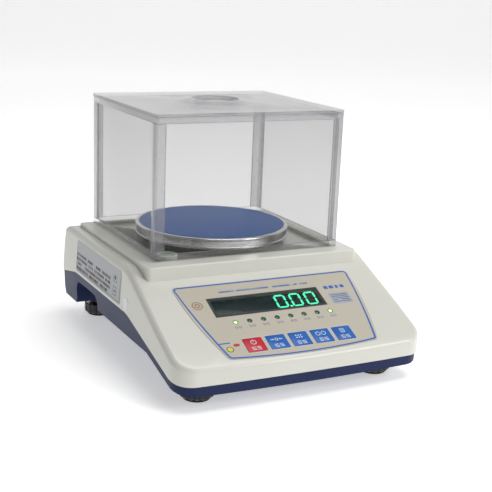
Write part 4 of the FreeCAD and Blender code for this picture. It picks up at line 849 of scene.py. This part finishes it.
def key_symbol(name):
    """Plain printed symbols: a ring, an arrow pair, dots, two rings, or a sheet."""
    if name == "power":
        return hoop(2.3 * MM, 1.8 * MM) + [rounded(0.5 * MM, 2.6 * MM, 0.1 * MM, 0, 1.2 * MM)]
    if name == "tare":
        tail, neck, tip, half_line, half_head = 5.2 * MM, 3.2 * MM, 2.1 * MM, 0.25 * MM, 0.9 * MM
        arrow = [(tail, half_line), (neck, half_line), (neck, half_head), (tip, 0), (neck, -half_head),
                 (neck, -half_line), (tail, -half_line)]
        return [[(side * u, v) for u, v in arrow] for side in (-1, 1)] + hoop(1.4 * MM, 0.9 * MM, steps=24)
    if name == "count":
        pitch = 2.1 * MM
        return [ring_outline(0.65 * MM, column * pitch, row * pitch, 16)
                for column in (-1, 0, 1) for row in (-0.5, 0.5)]
    if name == "unit":
        return [outline for side in (-1, 1) for outline in hoop(2.0 * MM, 1.5 * MM, side * 2.4 * MM, 0, 28)]
    page = framed(3.8 * MM, 4.4 * MM, 0.4 * MM, (0.4 * MM, 0.2 * MM))
    return page + [rounded(1.8 * MM, 0.4 * MM, 0.1 * MM, 0, line * 0.9 * MM) for line in (1, 0, -1)]


def build_keys():
    symbol_rise, caption_drop, caption_side, caption_size = 2.6 * MM, 3.7 * MM, 2.1 * MM, 3.4 * MM
    for name in KEYS:
        node = f"key_{name}"
        colour = "key_red" if name == "power" else "key_blue"
        finished_node(node, colour, bevel=0.12 * MM)
        place = console_place(on_console(node)[0], key_middle(node), KEY_TOP - PRINT / 2)
        symbol = [[(a, b + symbol_rise) for a, b in outline] for outline in key_symbol(name)]
        caption = [bar for side in (-1, 1)
                   for bar in caption_bars(side * caption_side, -caption_drop, caption_size)]
        printed(f"{node}_print", symbol + caption, "pale_ink", place, f"{name}_key")


def key_middle(node):
    """The middle of a key's cap up the slope, from the points near its top face."""
    caps = [laid_flat(vertex.co)[1] for vertex in nodes[node].data.vertices
            if (vertex.co - CONSOLE_FOOT).dot(CONSOLE_NORMAL) > KEY_TOP - 0.1 * MM]
    return (min(caps) + max(caps)) / 2


def caption_bars(u, v, size):
    """A small block of five bars that stands for one word of a caption."""
    bars = [rounded(size, size * 0.14, size * 0.05, u, v + row * size * 0.4, 2) for row in (-1, 0, 1)]
    return bars + [rounded(size * 0.12, size * 0.2, size * 0.05, u + side * size * 0.3,
                           v - side * size * 0.2, 2) for side in (-1, 1)]


def build_panel_prints():
    """The window's dark border, key frames, captions, tag, badge and plain corner marks."""
    low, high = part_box("display_window")
    gap, lap, window_height = 0.1 * MM, 2.2 * MM, 21.2 * MM
    mask = framed(high.x - low.x - gap, window_height - gap, lap - gap / 2, (0.4 * MM, 0.3 * MM),
                  *on_console("display_window"))
    print_on_panel("window_mask", mask, "display_face")
    frames = [outline for name in KEYS
              for outline in framed(16.9 * MM, 15.3 * MM, 0.3 * MM, (1.2 * MM, 0.9 * MM),
                                    on_console(f"key_{name}")[0], key_middle(f"key_{name}"))]
    print_on_panel("key_frames", frames, "pale_ink")
    for name, u, v, width, columns, bar, seed in (("title_line", -3.0, -19.8, 76.0, 42, 1.7, 3),
                                                  ("heading_bars", 56.5, -27.5, 15.0, 4, 3.4, 21)):
        small_print(name, "border_ink", console_place(u * MM, v * MM, OVERLAY_TOP + PRINT / 2),
                    width=width * MM, rows=1, columns=columns, pitch=bar * 1.8 * MM,
                    bar=bar * MM, fullness=0.9, seed=seed)
    lamp_marks, bezels = [], []
    lamp_v = on_console("indicator_leds")[1]
    for low, high in islands("indicator_leds"):
        u = (low.x + high.x) / 2
        bezels += hoop(2.15 * MM, 1.5 * MM, u, lamp_v, 28)
        for side in (-1, 1):
            lamp_marks += caption_bars(u + side * 1.5 * MM, lamp_v - 5.6 * MM, 2.3 * MM)
    print_on_panel("lamp_captions", lamp_marks, "caption_ink")
    print_on_panel("lamp_bezels", bezels, "lamp_off")
    finished_node("information_tag", "tag_print")
    on_plate = OVERLAY_TOP + PLATE
    small_print("tag_small_print", "label_ink",
                console_place(*on_console("information_tag"), on_plate + PRINT / 2),
                width=13.0 * MM, rows=5, columns=9, pitch=2.0 * MM, bar=0.7 * MM,
                fullness=0.85, seed=12)
    finished_node("panel_badge", "printed_overlay")
    middle_of_badge = on_console("panel_badge")
    rings = hoop(4.2 * MM, 3.4 * MM, *middle_of_badge) + hoop(2.2 * MM, 1.2 * MM, *middle_of_badge, 28)
    print_on_panel("badge_rings", rings, "emblem_ink", on_plate)
    round_mark = (-58.0 * MM, -80.5 * MM)
    oval = [(-51.5 * MM + 2.6 * MM * math.cos(step * math.pi / 14),
             -77.0 * MM + 1.5 * MM * math.sin(step * math.pi / 14)) for step in range(28)]
    for name, ink, outlines in (
            ("round_mark_fill", "yellow_ink", [ring_outline(2.2 * MM, *round_mark)]),
            ("round_mark", "line_ink", hoop(2.8 * MM, 2.2 * MM, *round_mark)),
            ("red_mark", "red_ink", [oval]),
            ("blue_mark", "border_ink", [rounded(8.6 * MM, 1.1 * MM, 0.3 * MM, -59.8 * MM, -74.0 * MM)])):
        print_on_panel(name, outlines, ink)


# ---- weighing mechanism ----

def build_weighing_parts():
    for node, material, bevel in (
            ("load_cell", "machined_aluminium", 0.4), ("load_cell_base", "base_steel", 0.4),
            ("load_cell_bolts", "zinc_steel", 0.2), ("overload_stops", "zinc_steel", 0.2),
            ("pan_bracket", "machined_aluminium", 0.3), ("bracket_bolts", "zinc_steel", 0.2),
            ("pan_spindle", "machined_aluminium", 0.2), ("spindle_collar", "black_plastic", 0.2),
            ("support_cushions", "foot_rubber", 0.2)):
        finished_node(node, material, bevel=bevel * MM)
    # The pan support is a real part, but its black finish also stands in for the deep shadow under the pan:
    # partly painted shade.
    finished_node("pan_support", "black_plastic")
    build_pan()


def build_pan():
    """A pressed pan with rolled rims, and the blue film stuck to its top."""
    low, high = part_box("weighing_pan")
    centre = ((low.x + high.x) / 2, (low.y + high.y) / 2, 0)
    radius = (high.x - low.x) / 2
    top, bottom = high.z, low.z
    bead, wall = 1.1 * MM, 0.8 * MM
    skirt = radius - bead * 0.55
    profile = [(0.0, top), (radius - bead * 1.4, top)]
    profile += arc(radius - bead, top - bead, bead, 90, -60, 8)
    profile += [(skirt, top - bead * 2.2), (skirt, bottom + bead * 2.2)]
    profile += arc(radius - bead, bottom + bead, bead, 60, -180, 12)
    profile += [(skirt - wall, bottom + bead * 2), (skirt - wall, top - wall - bead),
                (radius - bead * 2.4, top - wall), (0.0, top - wall)]
    pan = lathe("round_pan", profile, centre, segments=192)
    dress(pan, "pan_steel", "pan", ("weighing_pan",), 40)
    low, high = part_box("pan_film")
    film_radius = (high.x - low.x) / 2
    rim = [(0.0, low.z), (film_radius, low.z), (film_radius, high.z - 0.05 * MM),
           (film_radius - 0.3 * MM, high.z), (0.0, high.z)]
    film = lathe("blue_film", rim, centre, segments=192)
    dress(film, "pan_film", "pan", ("pan_film",), 60)


def build_spirit_level():
    finished_node("level_cup", "level_body", bevel=0.25 * MM)
    finished_node("level_liquid", "level_liquid")
    finished_node("level_glass", "level_glass", bevel=0.1 * MM)
    low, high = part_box("level_glass")
    centre = Vector(((low.x + high.x) / 2, (low.y + high.y) / 2, low.z))
    drop = ((0.0, -0.9), (1.1, -0.8), (1.75, -0.5), (1.9, -0.2), (1.7, -0.02), (0.0, -0.01))
    bubble = lathe("level_air_bubble", [(r * MM, z * MM) for r, z in drop], centre, segments=40)
    dress(bubble, "level_bubble", "casing", sharp=60)
    on_glass = Matrix.Translation((centre.x, centre.y, high.z - PRINT / 2))
    printed("level_target_ring", hoop(2.9 * MM, 2.6 * MM), "label_ink", on_glass)


# ---- draft shield ----

def build_shield():
    finished_node("shield_bottom_rail", "clear_rail", bevel=0.35 * MM)
    for node in ("shield_top_rail", "shield_posts"):
        finished_node(node, "clear_frame", bevel=0.35 * MM)
    for side in ("front", "rear", "left", "right"):
        finished_node(f"shield_{side}_panel", "clear_panel", bevel=0.2 * MM)
    finished_node("shield_lid", "clear_lid", sharp=40)


# ---- the feet ----

def build_feet():
    wheel_tree = lobed_wheel_tree()
    hub_radius, hub_bottom, hub_top, hub_edge = 7.9 * MM, 8.3 * MM, 10.0 * MM, 0.3 * MM
    hub_profile = [(0.0, hub_bottom), (hub_radius, hub_bottom), (hub_radius, hub_top - hub_edge),
                   (hub_radius - hub_edge, hub_top), (0.0, hub_top)]
    for corner in CORNERS:
        pad_low, pad_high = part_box(f"foot_pad_{corner}")
        centre = (pad_low + pad_high) / 2
        bottom = pad_high.z + 0.06 * MM
        body = f"foot_screw_{corner}"
        wheel = grown(f"foot_lobed_wheel_{corner}", wheel_tree, points_mesh("wheel_base", [(0, 0, 0)]), {
            "Radius": 13.0 * MM, "Height": 8.6 * MM, "Lobes": 16, "Lobe Depth": 1.3 * MM,
            "Chamfer": 0.8 * MM, "Material": finishes["black_plastic"]})
        dress(wheel, None, body, sharp=32,
              place=Matrix.Translation((centre.x, centre.y, bottom)))
        hub = lathe(f"foot_hub_{corner}", hub_profile, (centre.x, centre.y, bottom), segments=48)
        dress(hub, "black_plastic", body, (f"foot_wheel_{corner}",))
        finished_node(f"foot_stud_{corner}", "zinc_steel", bevel=0.2 * MM)
        finished_node(f"foot_pad_{corner}", "foot_rubber", bevel=0.15 * MM)
    finished_node("foot_inserts", "brass", bevel=0.1 * MM)


# ---- electronics ----

def build_electronics():
    for node, material in (("main_board", "circuit_board"), ("board_components", "component_black"),
                           ("socket_board", "circuit_board"), ("power_jack", "black_plastic")):
        finished_node(node, material, bevel=0.15 * MM)
    finished_node("serial_port", "zinc_steel", bevel=0.25 * MM)
    low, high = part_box("serial_port")
    facing = placed((-1, 0, 0), (0, 0, 1), (0, 1, 0), ((low.x + high.x) / 2, high.y, (low.z + high.z) / 2))
    insulator = sheet("port_insulator", [d_outline(17.2 * MM, 6.4 * MM)], 3.0 * MM,
                      facing @ Matrix.Translation((0, 0, -6.0 * MM)), edge=0.2 * MM)
    dress(insulator, "port_insulator", "casing")
    profile = ((0.0, 0.0), (0.5, 0.0), (0.5, 3.6), (0.2, 4.2), (0.0, 4.2))
    pin = lathe("pin_template", [(r * MM, z * MM) for r, z in profile], (0, 0, 0), segments=16)
    shade(pin.data, 40)
    pitch, row, root = 2.75 * MM, 1.4 * MM, 4.4 * MM
    places = [facing @ Vector(((column - (count - 1) / 2) * pitch, side * row, -root))
              for count, side in ((5, 1), (4, -1)) for column in range(count)]
    pins = set_down("port_pins", places, pin, "gold_pin", math.radians(-90))
    dress(pins, None, "casing")
    bpy.data.objects.remove(pin)


def d_outline(width, height):
    """The slanting-sided outline of a data socket, wider along its top."""
    slant = height * 0.18
    return soften_corners([(width / 2, height / 2), (-width / 2, height / 2),
                           (-width / 2 + slant, -height / 2), (width / 2 - slant, -height / 2)], 1.6 * MM)


# ---- floor and light ----

def add_stage():
    """A pale floor that curves up into a backdrop."""
    near, far, across, rise, top = 20.0, 3.2, 20.0, 0.9, 3.4
    profile = [(-near, 0.0), (far - rise, 0.0)]
    profile += [(far - rise + rise * math.sin(a), rise - rise * math.cos(a))
                for a in (math.radians(step * 7.5) for step in range(1, 13))] + [(far, top)]
    toward = Vector((math.sin(-CAMERA["azimuth"]), math.cos(CAMERA["azimuth"]), 0))
    side = Vector((toward.y, -toward.x, 0))
    points = []
    for along, height in profile:
        for edge in (-across, across):
            point = toward * along + side * edge
            points.append((point.x, point.y, height))
    faces = [(corner, corner + 1, corner + 3, corner + 2) for corner in range(0, len(points) - 2, 2)]
    floor = bpy.data.meshes.new("studio_floor")
    floor.from_pydata(points, [], faces)
    floor.shade_smooth()
    floor.materials.append(finishes["studio_paper"])
    thing = add_object("studio_floor", floor)


def add_lamp(name, location, size, power):
    """A square soft light, aimed at the middle of the balance."""
    light = bpy.data.lights.new(name, "AREA")
    light.shape = "SQUARE"
    light.size = size
    light.energy = power
    lamp = add_object(name, light)
    lamp.location = location
    lamp.rotation_euler = (Vector((0, 0, 0.09)) - Vector(location)).to_track_quat("-Z", "Y").to_euler()


def add_light():
    world = bpy.data.worlds.new("studio_air")
    bpy.context.scene.world = world
    world.use_nodes = True
    air = world.node_tree.nodes["Background"].inputs
    air["Color"].default_value = (1.0, 1.0, 1.0, 1.0)
    air["Strength"].default_value = 0.17
    add_lamp("front_softbox", (1.1, -1.4, 0.9), 0.8, 14)
    add_lamp("overhead_softbox", (0.35, -0.2, 1.6), 1.1, 15)


CAMERA = {"azimuth": -0.48167, "elevation": 0.2494, "roll": 0.04034, "lens": 76.51,
          "place": (-0.3772, -0.7434, 0.2958)}


def add_camera():
    azimuth, elevation, roll = CAMERA["azimuth"], CAMERA["elevation"], CAMERA["roll"]
    back = Vector((math.sin(azimuth) * math.cos(elevation), -math.cos(azimuth) * math.cos(elevation),
                   math.sin(elevation)))
    level = (-back).cross(Vector((0, 0, 1))).normalized()
    upright = level.cross(-back)
    right = level * math.cos(roll) + upright * math.sin(roll)
    up = upright * math.cos(roll) - level * math.sin(roll)
    data = bpy.data.cameras.new("view")
    data.lens = CAMERA["lens"]
    data.sensor_width = 36.0
    data.clip_start = 0.01
    camera = add_object("view", data)
    camera.matrix_world = Matrix((right, up, back)).transposed().to_4x4()
    camera.location = CAMERA["place"]
    bpy.context.scene.camera = camera
    bpy.context.scene.view_settings.view_transform = "Standard"


make_finishes()
scatter = scatter_tree()
printed_rows = printed_rows_tree()
PANEL = measure_panel()
build_casing()
build_console()
build_weighing_parts()
build_spirit_level()
build_shield()
build_feet()
build_electronics()
add_stage()
add_light()
add_camera()
